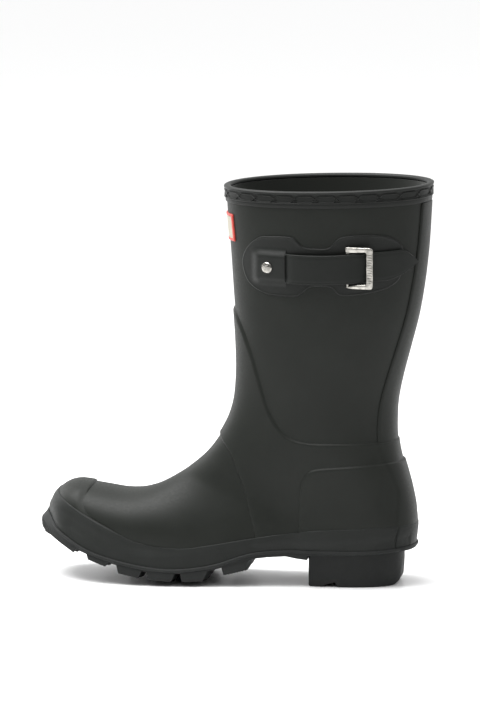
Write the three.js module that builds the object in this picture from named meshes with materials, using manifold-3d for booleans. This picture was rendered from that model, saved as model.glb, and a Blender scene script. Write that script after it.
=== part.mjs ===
// A short rubber rain boot (left foot) with a side strap and buckle, in millimetres.
// +Z is up, the toe points to -Y, the heel to +Y, and the outer side of the foot, with the buckle, is +X.
// The boot's skin is one smooth surface, the outer face of the base rubber. Every layer of the boot is a
// shell between two offsets of that skin, cut to its own outline.
import * as THREE from "three";
import { mergeVertices } from "three/addons/utils/BufferGeometryUtils.js";
import Module from "manifold-3d";

const wasm = await Module();
wasm.setup();

// ---------------------------------------------------------------- driving dimensions
const GAP = 0.3; // clearance between neighbouring pieces
const FAR = 200; // beyond the boot in any direction
const AROUND = 24; // points round one section of the skin

// Thickness of each layer, from the inside out
const LINING = 1.0;
const RUBBER = 2.1;
const OVERLAY = 1.2;
const COUNTER = 1.2;
const FOXING = 1.3;

// Offsets of the layers from the skin
const LINING_OUT = -RUBBER - GAP;
const LINING_IN = LINING_OUT - LINING;
const OVERLAY_IN = GAP;
const OVERLAY_OUT = OVERLAY_IN + OVERLAY;
const COUNTER_IN = OVERLAY_OUT + GAP;
const COUNTER_OUT = COUNTER_IN + COUNTER;

const RIM_Z = 303; // top of the collar
const SHELL_TOP_Z = 300.4; // top edge of the rubber leg and the lining, under the collar's lip
const COLLAR_LOW_Z = 293.6;
const UNDER_BAND_LOW_Z = 290.4;
const COLLAR_OUT = 1.9; // how far the collar stands out from the skin

// The skin's sections. Each one runs from a point on the front or top of the boot to a point on its
// back or bottom, both given as [y, z]. half: half-width. mid: sideways place of the section's middle.
// widest: where along the section it is widest. near and far: roundness of the two parts of the
// section, 2 for an ellipse and more for a squarer shape.
const SECTIONS = [
  { front: [-8.2, 303], back: [147.4, 303], half: 47.4, mid: 0, widest: 0.5, near: 2.1, far: 2.1 },
  { front: [-6.7, 279], back: [146.0, 279], half: 46.9, mid: 0, widest: 0.5, near: 2.1, far: 2.1 },
  { front: [-4.7, 256], back: [144.5, 256], half: 46.2, mid: 0, widest: 0.5, near: 2.1, far: 2.1 },
  { front: [-3.0, 231], back: [141.7, 231], half: 45.2, mid: 0, widest: 0.5, near: 2.1, far: 2.1 },
  { front: [-1.3, 206], back: [137.5, 206], half: 44.0, mid: 0, widest: 0.5, near: 2.1, far: 2.1 },
  { front: [0.2, 182], back: [131.5, 182], half: 42.3, mid: 0, widest: 0.5, near: 2.1, far: 2.1 },
  { front: [0.6, 160], back: [125.8, 160], half: 40.3, mid: 0, widest: 0.51, near: 2.1, far: 2.1 },
  { front: [-0.8, 141], back: [122.0, 141], half: 38.5, mid: 0, widest: 0.53, near: 2.1, far: 2.1 },
  { front: [-3.9, 128], back: [121.0, 124], half: 37.3, mid: 0.1, widest: 0.56, near: 2.15, far: 2.1 },
  { front: [-8.2, 118.3], back: [121.5, 110], half: 36.6, mid: 0.2, widest: 0.6, near: 2.2, far: 2.1 },
  { front: [-12.6, 110.6], back: [123.8, 97], half: 36.0, mid: 0.3, widest: 0.63, near: 2.3, far: 2.15 },
  { front: [-17.6, 103.2], back: [127.6, 84], half: 35.2, mid: 0.4, widest: 0.66, near: 2.45, far: 2.2 },
  { front: [-22.7, 97.2], back: [131.2, 70], half: 34.2, mid: 0.5, widest: 0.68, near: 2.6, far: 2.25 },
  { front: [-28.2, 91.8], back: [133.7, 55], half: 33.2, mid: 0.6, widest: 0.7, near: 2.8, far: 2.35 },
  { front: [-33.8, 87.2], back: [132.6, 40.5], half: 32.6, mid: 0.8, widest: 0.71, near: 2.9, far: 2.7 },
  { front: [-39.4, 82.9], back: [118, 30.5], half: 32.5, mid: 1.0, widest: 0.72, near: 2.9, far: 3.4 },
  { front: [-45.5, 79.0], back: [86, 29.2], half: 32.8, mid: 1.6, widest: 0.73, near: 2.8, far: 4.2 },
  { front: [-52.6, 75.0], back: [46, 29.2], half: 33.6, mid: 2.6, widest: 0.72, near: 2.6, far: 4.5 },
  { front: [-60.7, 71.2], back: [9, 25.2], half: 36.5, mid: 3.0, widest: 0.7, near: 2.4, far: 4.5 },
  { front: [-72, 67.9], back: [-28, 17.2], half: 42.0, mid: 1.6, widest: 0.68, near: 2.3, far: 4.5 },
  { front: [-85.5, 66.7], back: [-63, 14.8], half: 44.2, mid: -1.4, widest: 0.68, near: 2.3, far: 4.2 },
  { front: [-99.8, 68.2], back: [-90, 19.0], half: 42.4, mid: -3.8, widest: 0.66, near: 2.3, far: 3.8 },
  { front: [-111, 69.6], back: [-108, 25.5], half: 39.0, mid: -5.4, widest: 0.62, near: 2.3, far: 3.2 },
  { front: [-120.5, 70.4], back: [-121, 31.8], half: 34.8, mid: -6.8, widest: 0.58, near: 2.3, far: 2.6 },
];
// The round end of the toe, beyond the last section
const NOSE_LENGTH = 20.5;
const NOSE_POWER = 2.2;
const NOSE_MID = -12; // sideways place of the tip
const NOSE_RINGS = [0.3, 0.56, 0.78, 0.93]; // how far round the end each ring lies
const LAST = SECTIONS.length - 1;

// ---------------------------------------------------------------- the skin
function spline(a, b, c, d, t) {
  const curve = 2 * a - 5 * b + 4 * c - d;
  const twist = 3 * (b - c) + d - a;
  return 0.5 * (2 * b + (c - a) * t + curve * t * t + twist * t * t * t);
}

function flatten(section) {
  const { front, back, half, mid, widest, near, far } = section;
  return [front[0], front[1], back[0], back[1], half, mid, widest, near, far];
}

const ROWS = SECTIONS.map(flatten);

// The section at place u: 0 is the rim, LAST the last listed section, LAST + 1 the tip of the toe
function sectionAt(u) {
  if (u > LAST) {
    const turn = (u - LAST) * Math.PI / 2;
    const row = ROWS[LAST].slice();
    const size = Math.cos(turn) ** (2 / NOSE_POWER);
    const along = Math.sin(turn) ** (2 / NOSE_POWER);
    const middleY = (row[0] + row[2]) / 2 - NOSE_LENGTH * along;
    const middleZ = (row[1] + row[3]) / 2 - along;
    const halfY = ((row[0] - row[2]) / 2) * size;
    const halfZ = ((row[1] - row[3]) / 2) * size;
    row[0] = middleY + halfY;
    row[1] = middleZ + halfZ;
    row[2] = middleY - halfY;
    row[3] = middleZ - halfZ;
    row[4] *= size;
    row[5] += (NOSE_MID - row[5]) * along;
    row[6] += (0.5 - row[6]) * along;
    row[8] += (NOSE_POWER - row[8]) * along;
    return row;
  }
  const i = Math.min(Math.floor(u), LAST - 1);
  const t = u - i;
  const before = ROWS[Math.max(i - 1, 0)];
  const after = ROWS[Math.min(i + 2, LAST)];
  return ROWS[i].map((value, k) => spline(before[k], value, ROWS[i + 1][k], after[k], t));
}

// A point of the skin: turn 0 is the front or top, 90 degrees the outer side, 180 the back or bottom
function skinPoint(u, turn) {
  const [frontY, frontZ, backY, backZ, half, mid, widest, near, far] = sectionAt(u);
  const c = Math.cos(turn);
  const s = Math.sin(turn);
  const power = c >= 0 ? near : far;
  const reach = Math.abs(c) ** (2 / power);
  const along = c >= 0 ? widest * (1 - reach) : widest + (1 - widest) * reach;
  const side = Math.sign(s) * Math.abs(s) ** (2 / power);
  return new THREE.Vector3(
    mid + half * side,
    frontY + (backY - frontY) * along,
    frontZ + (backZ - frontZ) * along,
  );
}

function skinNormal(u, turn) {
  const step = 0.02;
  const low = Math.max(u - step, 0);
  const high = Math.min(u + step, LAST + 0.98);
  const down = skinPoint(high, turn).sub(skinPoint(low, turn));
  const round = skinPoint(u, turn + step).sub(skinPoint(u, turn - step));
  return down.cross(round).normalize();
}

// The places of the rings that every offset of the skin shares
const RINGS = [];
for (let i = 0; i < LAST; i += 1) {
  RINGS.push(i);
  if (i >= 15 && i < 20) RINGS.push(i + 0.5);
}
RINGS.push(LAST, ...NOSE_RINGS.map((part) => LAST + part));

// ---------------------------------------------------------------- solids
function solidFrom(vertProperties, triVerts) {
  const data = { numProp: 3, vertProperties, triVerts };
  const solid = new wasm.Manifold(new wasm.Mesh(data));
  if (solid.volume() > 0) return solid;
  for (let i = 0; i < triVerts.length; i += 3) {
    [triVerts[i + 1], triVerts[i + 2]] = [triVerts[i + 2], triVerts[i + 1]];
  }
  return new wasm.Manifold(new wasm.Mesh(data));
}

function solidOf(geometry) {
  geometry.deleteAttribute("normal");
  geometry.deleteAttribute("uv");
  const merged = mergeVertices(geometry, 1e-4);
  return solidFrom(new Float32Array(merged.attributes.position.array), new Uint32Array(merged.index.array));
}

// A closed solid from rings of equal length, with a fan of triangles over each end
function ringsSolid(rings) {
  const count = rings[0].length;
  const points = rings.flat();
  for (const ring of [rings[0], rings[rings.length - 1]]) {
    const middle = new THREE.Vector3();
    ring.forEach((point) => middle.addScaledVector(point, 1 / count));
    points.push(middle);
  }
  const faces = [];
  for (let i = 0; i < rings.length - 1; i += 1) {
    for (let j = 0; j < count; j += 1) {
      const a = i * count + j;
      const b = i * count + ((j + 1) % count);
      faces.push(a, b, a + count, b, b + count, a + count);
    }
  }
  const end = (rings.length - 1) * count;
  for (let j = 0; j < count; j += 1) {
    const next = (j + 1) % count;
    faces.push(points.length - 2, next, j, points.length - 1, end + j, end + next);
  }
  return solidFrom(new Float32Array(points.flatMap((p) => p.toArray())), new Uint32Array(faces));
}

// The solid inside the skin moved out by offset, which may be a function of the point's place.
// rise adds a ring above the rim, so that a solid used as a cutter passes right through it.
function skinSolid(offset, rise = 0) {
  const rings = RINGS.map((u, i) => {
    const ring = [];
    for (let j = 0; j < AROUND; j += 1) {
      const turn = (j / AROUND) * Math.PI * 2;
      const point = skinPoint(u, turn);
      const distance = typeof offset === "function" ? offset(point) : offset;
      point.addScaledVector(skinNormal(u, turn), distance);
      if (i === 0) point.z = RIM_Z;
      ring.push(point);
    }
    return ring;
  });
  if (rise > 0) rings.unshift(rings[0].map((point) => new THREE.Vector3(point.x, point.y, RIM_Z + rise)));
  return ringsSolid(rings);
}

const shell = (inside, outside) => skinSolid(outside).subtract(skinSolid(inside, 10));

// A prism that runs from side to side, with its outline given as [y, z] points
function sidePrism(outline, low = -FAR, high = FAR) {
  const shape = new THREE.Shape(outline.map(([y, z]) => new THREE.Vector2(y, z)));
  const geometry = new THREE.ExtrudeGeometry(shape, { depth: high - low, bevelEnabled: false });
  const turn = new THREE.Matrix4().set(0, 0, 1, low, 1, 0, 0, 0, 0, 1, 0, 0, 0, 0, 0, 1);
  return solidOf(geometry.applyMatrix4(turn));
}

// An upright prism, with its outline given as [x, y] points
function uprightPrism(outline, low, high) {
  const shape = new THREE.Shape(outline.map(([x, y]) => new THREE.Vector2(x, y)));
  const geometry = new THREE.ExtrudeGeometry(shape, { depth: high - low, bevelEnabled: false });
  return solidOf(geometry.translate(0, 0, low));
}

// A prism along Y, with its outline given as [x, z] points
function lengthPrism(outline, low, high) {
  const shape = new THREE.Shape(outline.map(([x, z]) => new THREE.Vector2(x, z)));
  const geometry = new THREE.ExtrudeGeometry(shape, { depth: high - low, bevelEnabled: false });
  const turn = new THREE.Matrix4().set(1, 0, 0, 0, 0, 0, -1, high, 0, 1, 0, 0, 0, 0, 0, 1);
  return solidOf(geometry.applyMatrix4(turn));
}

function smooth(points, steps) {
  const curve = new THREE.SplineCurve(points.map(([a, b]) => new THREE.Vector2(a, b)));
  return curve.getPoints(steps).map((p) => [p.x, p.y]);
}

function smoothLoop(points, steps) {
  const curve = new THREE.CatmullRomCurve3(points.map(([a, b]) => new THREE.Vector3(a, b, 0)), true);
  return curve.getPoints(steps).slice(0, -1).map((p) => [p.x, p.y]);
}

const box = (low, high) =>
  sidePrism([[low[1], low[2]], [high[1], low[2]], [high[1], high[2]], [low[1], high[2]]], low[0], high[0]);

const above = (z) => box([-FAR, -FAR, z], [FAR, FAR, FAR * 2]);
const below = (z) => box([-FAR, -FAR, -FAR], [FAR, FAR, z]);

// ---------------------------------------------------------------- outlines
// Top edge of the rubber foxing and top edge of the outsole, as [y, z], from the toe to the heel
const FOXING_TOP = [
  [-150, 66], [-139.7, 62.5], [-119.6, 54], [-95, 43.2], [-71, 32.6], [-40, 28.8], [-18, 31], [15, 36.6],
  [58, 43], [105, 46], [140, 47.6],
];
const SOLE_TOP = [
  [-152, 50], [-141.8, 43], [-112.6, 26.6], [-89, 19.4], [-60, 14.4], [-39, 13.6], [-13, 17], [15, 25.6],
  [42, 28.6], [77, 28.4], [105, 28.8], [140, 31.5],
];
// The outsole's edge seen from above, as [x, y], from the back of the heel round the outer side
const SOLE_EDGE = [
  [0, 137.4], [18, 133], [29.5, 120], [34.5, 102], [36, 78], [36.4, 52], [38.5, 22], [43, -8], [47, -35],
  [47.6, -62], [43.6, -92], [35.5, -119], [22, -138], [5, -148.6], [-12, -151.2], [-28, -147], [-40, -134],
  [-47.4, -113], [-50.2, -88], [-49, -64], [-44, -38], [-37, -10], [-33, 22], [-32.8, 52], [-34, 80],
  [-33.4, 102], [-28.5, 120], [-17.5, 133],
];
const SOLE_STEPS = 56;
const EDGE_STEPS = 14;

const foxingTop = smooth(FOXING_TOP, EDGE_STEPS);
const soleTop = smooth(SOLE_TOP, EDGE_STEPS);
const soleEdge = smoothLoop(SOLE_EDGE, SOLE_STEPS);

const raised = (line, dz) => line.map(([y, z]) => [y, z + dz]);
const between = (low, high) => [...low, ...high.slice().reverse()];
const stretch = (line) => [[-FAR, line[0][1]], ...line, [FAR, line[line.length - 1][1]]];

const VAMP_SEAM = [[-14, 112], [-2, 98.6], [4.9, 82.5], [10.3, 68.2], [14.2, 54.6], [17.9, 39.7], [21, 10]];
const OVERLAY_EDGE = [
  [-12, 214], [-2, 210.5], [4.8, 200], [9.7, 190.3], [16.3, 173.7], [22.6, 153.3], [27.6, 137.3], [34.8, 123.7],
  [44.3, 114.6], [58.3, 111], [77.1, 110.8], [110.4, 110.9], [130, 112],
];
const COUNTER_EDGE = [
  [52.4, 20], [51, 50], [51.5, 69.4], [53.8, 77.6], [58.4, 84.1], [66.6, 88.9], [76, 90.8], [99, 93],
  [116, 93.4], [140, 94.5],
];
const TOE_CAP_EDGE = [[-104, 80], [-107, 71.5], [-112.8, 60.4], [-107.7, 51.7], [-97, 45], [-92, 40.5], [-86, 30]];
const PATCH_EDGE = [
  [7.9, 245.9], [12, 258], [21.5, 266.6], [30, 268.4], [50, 268.4], [58, 261.4], [68, 260.4], [80, 261],
  [90, 270], [105, 271], [117, 269.6], [125, 265.6], [129, 259.8], [128.6, 244], [125, 234], [112, 227.4],
  [90, 224.2], [80, 230.2], [68, 230.8], [58, 230], [50, 223.4], [39, 222.8], [25, 224.4], [12.8, 232],
];

// ---------------------------------------------------------------- the upper
const solids = {};
const SPLIT_LINE = [[-20, 106], [140, 92]]; // where the leg's rubber ends and the vamp's begins

function cutBySplit(solid, upper) {
  const line = raised(SPLIT_LINE, upper ? GAP / 2 : -GAP / 2);
  const limit = upper ? FAR * 2 : -FAR;
  const ends = [[FAR, line[1][1]], [FAR, limit], [-FAR, limit], [-FAR, line[0][1]]];
  return solid.intersect(sidePrism([...line, ...ends]));
}

const overFoxing = sidePrism(between(stretch(soleTop), raised(stretch(soleTop), FAR * 2)));
const rubber = shell(-RUBBER, 0).intersect(below(SHELL_TOP_Z));
solids.leg_shell = cutBySplit(rubber, true);
solids.vamp = cutBySplit(rubber, false);
solids.lining = shell(LINING_IN, LINING_OUT).intersect(below(SHELL_TOP_Z));

const overlayLayer = shell(OVERLAY_IN, OVERLAY_OUT);
const counterArea = sidePrism([...COUNTER_EDGE, [FAR, 94.5], [FAR, 0], [52.4, 0]]);
const overlayArea = sidePrism([
  ...VAMP_SEAM, [FAR, 10], [FAR, 112], ...OVERLAY_EDGE.slice().reverse(), [-60, 214], [-60, 112],
]);
solids.ankle_overlay = overlayLayer.intersect(overlayArea).intersect(overFoxing);
solids.heel_counter = shell(COUNTER_IN, COUNTER_OUT).intersect(counterArea).intersect(overFoxing);

const capArea = sidePrism([...TOE_CAP_EDGE, [-86, 0], [-FAR, 0], [-FAR, 80]]);
solids.toe_cap = overlayLayer.intersect(capArea).intersect(overFoxing);

// The strip up the back of the leg, wider at the ankle than at the collar
const STRIP_LOW_Z = 112.6;
const STRIP_LOW_HALF = 22;
const STRIP_TOP_HALF = 17.5;
const STRIP_FROM_Y = 80;
const stripArea = lengthPrism([
  [-STRIP_LOW_HALF, STRIP_LOW_Z], [STRIP_LOW_HALF, STRIP_LOW_Z], [STRIP_TOP_HALF, RIM_Z], [-STRIP_TOP_HALF, RIM_Z],
], STRIP_FROM_Y, FAR);
const stripHeight = below(UNDER_BAND_LOW_Z - GAP);
solids.back_strip = overlayLayer.intersect(stripArea).intersect(stripHeight);

// The foxing lies over the counter at the heel and over the toe cap and overlay further forward
const foxingArea = sidePrism(between(raised(stretch(soleTop), GAP), stretch(foxingTop)));
function foxingStart(point) {
  const heelward = THREE.MathUtils.smoothstep(point.y, 20, 46);
  return THREE.MathUtils.lerp(OVERLAY_OUT + GAP, COUNTER_OUT + GAP, heelward);
}
const foxingLayer = skinSolid((p) => foxingStart(p) + FOXING).subtract(skinSolid(foxingStart, 10));
const foxing = foxingLayer.intersect(foxingArea);
const HEEL_TAB_HALF = 21.5;
const HEEL_TAB_FROM_Y = 100;
const heelTabBlock = (half) => box([-half, HEEL_TAB_FROM_Y, 0], [half, FAR, 60]);
const heelTabArea = heelTabBlock(HEEL_TAB_HALF);
const heelTabRoom = heelTabBlock(HEEL_TAB_HALF + GAP);
solids.foxing_band = foxing.subtract(heelTabRoom);
solids.heel_tab = foxing.intersect(heelTabArea);

// ---------------------------------------------------------------- the collar
const heights = (low, high) => above(low).intersect(below(high));
const collarBand = shell(GAP, COLLAR_OUT).intersect(above(COLLAR_LOW_Z));
const collarLip = shell(LINING_IN, COLLAR_OUT).intersect(above(SHELL_TOP_Z + GAP));
solids.collar_binding = collarBand.add(collarLip);
const UNDER_BAND = 0.9;
const underBandArea = heights(UNDER_BAND_LOW_Z, COLLAR_LOW_Z - GAP);
solids.collar_under_band = shell(GAP, GAP + UNDER_BAND).intersect(underBandArea);

// ---------------------------------------------------------------- the front label
const LABEL_HALF = 20.5;
const LABEL_LOW_Z = 260.5;
const LABEL_HIGH_Z = 281.5;
const LABEL_BORDER = 2;
const LABEL_BORDER_THICK = 0.9;
const LABEL_PANEL_THICK = 0.7;
const LABEL_BACK_Y = 40; // only the front of the leg, up to here
function labelArea(inset) {
  const x = LABEL_HALF - inset;
  const low = LABEL_LOW_Z + inset;
  const high = LABEL_HIGH_Z - inset;
  return lengthPrism([[-x, low], [x, low], [x, high], [-x, high]], -FAR, LABEL_BACK_Y);
}
const labelLayer = shell(GAP, GAP + LABEL_BORDER_THICK);
solids.label_border = labelLayer.intersect(labelArea(0)).subtract(labelArea(LABEL_BORDER));
solids.label_panel = shell(GAP, GAP + LABEL_PANEL_THICK).intersect(labelArea(LABEL_BORDER + GAP));

// ---------------------------------------------------------------- inside the boot
const FLOOR = 5.6; // inner floor of the lining above the outsole's top edge
const BOARD = 2;
const FOOTBED = 4.5;
const inside = skinSolid(LINING_IN - GAP);
const bedLine = stretch(soleTop);
const boardArea = sidePrism(between(raised(bedLine, -40), raised(bedLine, FLOOR + BOARD)));
const bedLow = FLOOR + BOARD + GAP;
const bedArea = sidePrism(between(raised(bedLine, bedLow), raised(bedLine, bedLow + FOOTBED)));
solids.insole_board = inside.intersect(boardArea);
solids.footbed = inside.intersect(bedArea);

// ---------------------------------------------------------------- the sole
const LUG_TAPER = 2.4;
const LUG_ROOT = 7.5; // how far a lug reaches up into the plate
const CHANNEL_HALF = 4; // half of the gap between the outer and inner rows of lugs
const TOE_CHANNEL_X = -6; // sideways middle of that gap under the toe, and under the ball of the foot
const BALL_CHANNEL_X = -1;
const TOE_LUGS_TO_Y = -90;
const HEEL_PLATE_Z = 24.4;
const PLATE_BOTTOM = [
  [-151.2, 41.5], [-149.6, 35.5], [-146, 31.5], [-135, 29], [-115, 21], [-95, 14.2], [-75, 8.4], [-55, 6],
  [-35, 6], [-15, 9.4], [8, 15.4], [28, 18.6], [48, 20.8], [58, HEEL_PLATE_Z], [145, HEEL_PLATE_Z],
];
// Ground face of each lug, as [y, z] of its toe end and of its heel end
const LUGS = [
  [[-146, 31.8], [-120.5, 19]],
  [[-109.5, 14.4], [-94, 8.8]],
  [[-85.5, 5.6], [-70, 1.4]],
  [[-61.5, 0], [-44.5, 0]],
  [[-37, 0], [-20, 1.6]],
  [[-6.5, 5], [9, 9.5]],
];

function lugOutline([toeEnd, heelEnd]) {
  return [
    toeEnd, heelEnd,
    [heelEnd[0] + LUG_TAPER, heelEnd[1] + LUG_ROOT], [toeEnd[0] - LUG_TAPER, toeEnd[1] + LUG_ROOT],
  ];
}

const soleFace = raised(stretch(soleTop), -GAP);
let tread = sidePrism(between([[-FAR, PLATE_BOTTOM[0][1]], ...PLATE_BOTTOM, [FAR, HEEL_PLATE_Z]], soleFace));
for (const lug of LUGS) {
  const outline = lugOutline(lug);
  const middle = lug[0][0] < TOE_LUGS_TO_Y ? TOE_CHANNEL_X : BALL_CHANNEL_X;
  tread = tread.add(sidePrism(outline, middle + CHANNEL_HALF, FAR));
  tread = tread.add(sidePrism(outline, -FAR, middle - CHANNEL_HALF));
}
const SHANK_FROM = -25;
const SHANK_TO = 60;
const SHANK_HALF = 7;
const SHANK_LOW = -2.6; // the shank's lower and upper faces, from the outsole's top line
const SHANK_HIGH = -1;
const shankLine = soleTop.filter(([y]) => y > SHANK_FROM && y < SHANK_TO);
const shankSides = between(raised(shankLine, SHANK_LOW), raised(shankLine, SHANK_HIGH));
const shankRoom = box([-SHANK_HALF - GAP, shankLine[0][0] - GAP, 0],
  [SHANK_HALF + GAP, shankLine[shankLine.length - 1][0] + GAP, 60]);
const pocketSides = between(raised(bedLine, SHANK_LOW - GAP), raised(bedLine, 20));
const pocket = shankRoom.intersect(sidePrism(pocketSides));
solids.shank = sidePrism(shankSides, -SHANK_HALF, SHANK_HALF);
solids.outsole = tread.intersect(uprightPrism(soleEdge, -1, 60)).subtract(skinSolid(GAP)).subtract(pocket);

// A thin welt stands out round the top of the outsole
function grown(loop, distance) {
  return loop.map(([x, y], i) => {
    const before = loop[(i + loop.length - 1) % loop.length];
    const after = loop[(i + 1) % loop.length];
    const along = new THREE.Vector2(after[0] - before[0], after[1] - before[1]).normalize();
    const turned = Math.sign(THREE.ShapeUtils.area(loop.map(([a, b]) => new THREE.Vector2(a, b))));
    return [x + along.y * distance * turned, y - along.x * distance * turned];
  });
}
const WELT = 0.9;
const WELT_LOW = -3;
const WELT_HIGH = -0.6;
const weltArea = sidePrism(between(raised(bedLine, WELT_LOW), raised(bedLine, WELT_HIGH)));
const weltRing = uprightPrism(grown(soleEdge, GAP + WELT), -1, 70)
  .subtract(uprightPrism(grown(soleEdge, GAP), -5, 80));
solids.welt = weltRing.intersect(weltArea);

const HEEL_TOP_Z = HEEL_PLATE_Z - GAP;
const HEEL_EDGE = [
  [-30, 58.5], [30.5, 58.5], [32.5, 76], [31.5, 95], [26, 112], [14, 123.2], [0, 126.8], [-13, 123.6],
  [-24, 113], [-29.6, 97], [-31, 77],
];
const HEEL_ROUND = [
  [58.5, 1], [59.5, 0], [71, 0], [79, 3.4], [83, 0], [112, 0], [119, 1.6], [124.5, 5.5], [126.4, 9],
];
solids.heel_block = uprightPrism(HEEL_EDGE, 0, HEEL_TOP_Z)
  .intersect(sidePrism([...HEEL_ROUND, [128, HEEL_TOP_Z + 1], [58.5, HEEL_TOP_Z + 1]]));

// ---------------------------------------------------------------- strap, patch and buckle
// A point of the leg's outer side at a given place along and up the boot, with the directions there
function outerPoint(y, z) {
  let low = 0;
  let high = 8;
  while (high - low > 1e-4) {
    const u = (low + high) / 2;
    if (sectionAt(u)[1] > z) low = u;
    else high = u;
  }
  const [frontY, , backY, , half, mid, widest, near, far] = sectionAt(low);
  const along = (y - frontY) / (backY - frontY);
  const part = along < widest ? 1 - along / widest : (along - widest) / (1 - widest);
  const power = along < widest ? near : far;
  return new THREE.Vector3(mid + half * (1 - part ** power) ** (1 / power), y, z);
}

function outerFrame(y, z) {
  const point = outerPoint(y, z);
  const back = outerPoint(y + 0.5, z).sub(outerPoint(y - 0.5, z)).normalize();
  const up = outerPoint(y, z + 0.5).sub(outerPoint(y, z - 0.5)).normalize();
  const out = back.clone().cross(up).normalize();
  return { point, back, up: out.clone().cross(back), out };
}

const STRAP_HALF = 11.1;
const STRAP = 1.8;
const STRAP_Z = 244.4;
// The strap's underside: place along the boot, height above the skin, and how far up it has drifted
const STRAP_ROUTE = [
  [20, 0.3, 0], [32, 0.3, 0], [43, 0.3, 0], [47, 1.1, 0], [52, 2.1, 0], [62, 3.4, 0], [74, 5, 0.2],
  [84, 6, 0.9], [90, 6, 1.3], [96, 4.6, 1.7], [102, 3.2, 2], [110, 2.7, 2.3], [120, 2.6, 2.9],
  [128, 2.6, 3.4], [134, 2.7, 3.8], [138.4, 2.8, 4.1],
];
const TAIL_ROUND = [1, 1, 0.86, 0.3]; // half-width of the last rows, as a part of STRAP_HALF

function strapSolid() {
  const rows = STRAP_ROUTE.map(([y, lift, drift], i) => {
    const { point, up, out } = outerFrame(y, STRAP_Z + drift);
    const tail = TAIL_ROUND[i - STRAP_ROUTE.length + TAIL_ROUND.length] ?? 1;
    const corner = (side, height) =>
      point.clone().addScaledVector(out, height).addScaledVector(up, side * STRAP_HALF * tail);
    return [corner(-1, lift), corner(1, lift), corner(1, lift + STRAP), corner(-1, lift + STRAP)];
  });
  return ringsSolid(rows);
}
solids.strap = strapSolid();

// The front of the patch lies over the strap's end, and the strap comes out through a slot behind it
const rectangle = (y0, y1, z0, z1) => sidePrism([[y0, z0], [y1, z0], [y1, z1], [y0, z1]], 0, FAR);
const COVER_OUT = 4.3;
const ROOM_OUT = 3.1; // top of the space that the strap's end lies in
const COVER_FROM_Y = 16.5;
const COVER_TO_Y = 44;
const COVER_HALF = 13.8; // half of the cover's height
const ROOM_FROM_Y = 18.4;
const ROOM_TO_Y = 54; // the patch is open up to here, where the strap climbs out
const ROOM_HALF = 12.4;
const roomAt = (y0, y1) => rectangle(y0, y1, STRAP_Z - ROOM_HALF, STRAP_Z + ROOM_HALF);
const coverArea = rectangle(COVER_FROM_Y, COVER_TO_Y, STRAP_Z - COVER_HALF, STRAP_Z + COVER_HALF);
const cover = shell(OVERLAY_IN, COVER_OUT).intersect(coverArea);
const strapRoom = skinSolid(ROOM_OUT).intersect(roomAt(ROOM_FROM_Y, ROOM_TO_Y));
const riser = skinSolid(OVERLAY_OUT + 2).intersect(roomAt(COVER_TO_Y, ROOM_TO_Y)); // deeper than the patch
const patch = overlayLayer.intersect(sidePrism(PATCH_EDGE, 0, FAR));

// A cylinder along the outward direction of a frame, or along its upward one
function rod(place, radius, low, high, direction, sides = 16) {
  const geometry = new THREE.CylinderGeometry(radius, radius, high - low, sides);
  geometry.translate(0, (low + high) / 2, 0);
  const turn = new THREE.Quaternion().setFromUnitVectors(new THREE.Vector3(0, 1, 0), direction);
  return solidOf(geometry.applyQuaternion(turn).translate(...place.toArray()));
}

const RIVET_RADIUS = 1.8;
const RIVET_HEAD_RADIUS = 4.3;
const rivetAt = outerFrame(30, 244.6);
const rivetHole = rod(rivetAt.point, RIVET_RADIUS + GAP, -8, 8, rivetAt.out, 12);
solids.strap_patch = patch.add(cover).subtract(strapRoom).subtract(riser).subtract(rivetHole);
solids.strap = solids.strap.subtract(rivetHole);
solids.leg_shell = solids.leg_shell.subtract(rivetHole);
solids.lining = solids.lining.subtract(rivetHole);

function rivetHead() {
  const profile = [[0, 0], [RIVET_HEAD_RADIUS, 0], [RIVET_HEAD_RADIUS, 0.6], [3.4, 1.4], [1.8, 1.9], [0, 2.1]];
  const geometry = new THREE.LatheGeometry(profile.map(([r, h]) => new THREE.Vector2(r, h)), 20);
  geometry.applyQuaternion(new THREE.Quaternion().setFromUnitVectors(new THREE.Vector3(0, 1, 0), rivetAt.out));
  const base = rivetAt.point.clone().addScaledVector(rivetAt.out, COVER_OUT + 2 * GAP);
  return solidOf(geometry.translate(...base.toArray()));
}
const POST_END = LINING_IN - 2.4;
const post = rod(rivetAt.point, RIVET_RADIUS, POST_END, COVER_OUT + 1, rivetAt.out, 12);
solids.rivet = rivetHead().add(post);
const WASHER_RADIUS = 4.6;
solids.rivet_washer = rod(rivetAt.point, WASHER_RADIUS, POST_END, LINING_IN - 3 * GAP, rivetAt.out, 20)
  .subtract(rivetHole);

// The buckle turns on a pin held in a rubber loop on the patch, under the strap
const PIN_Y = 89.5;
const PIN_Z = 246.3;
const PIN_LIFT = 3.7;
const PIN_RADIUS = 0.9;
const BUCKLE_HALF = 15.9; // half of the buckle's height
const BUCKLE_ARM = 3.2;
const BUCKLE_REACH = 19.5; // from the pin to the outer edge of the cross bar
const BUCKLE_THICK = 2.6;
const ARM_END = 1.7; // how far the arms reach past the pin
const BUCKLE_TILT = THREE.MathUtils.degToRad(13);
const pinFrame = outerFrame(PIN_Y, PIN_Z);
const pinAt = pinFrame.point.clone().addScaledVector(pinFrame.out, PIN_LIFT);

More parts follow.
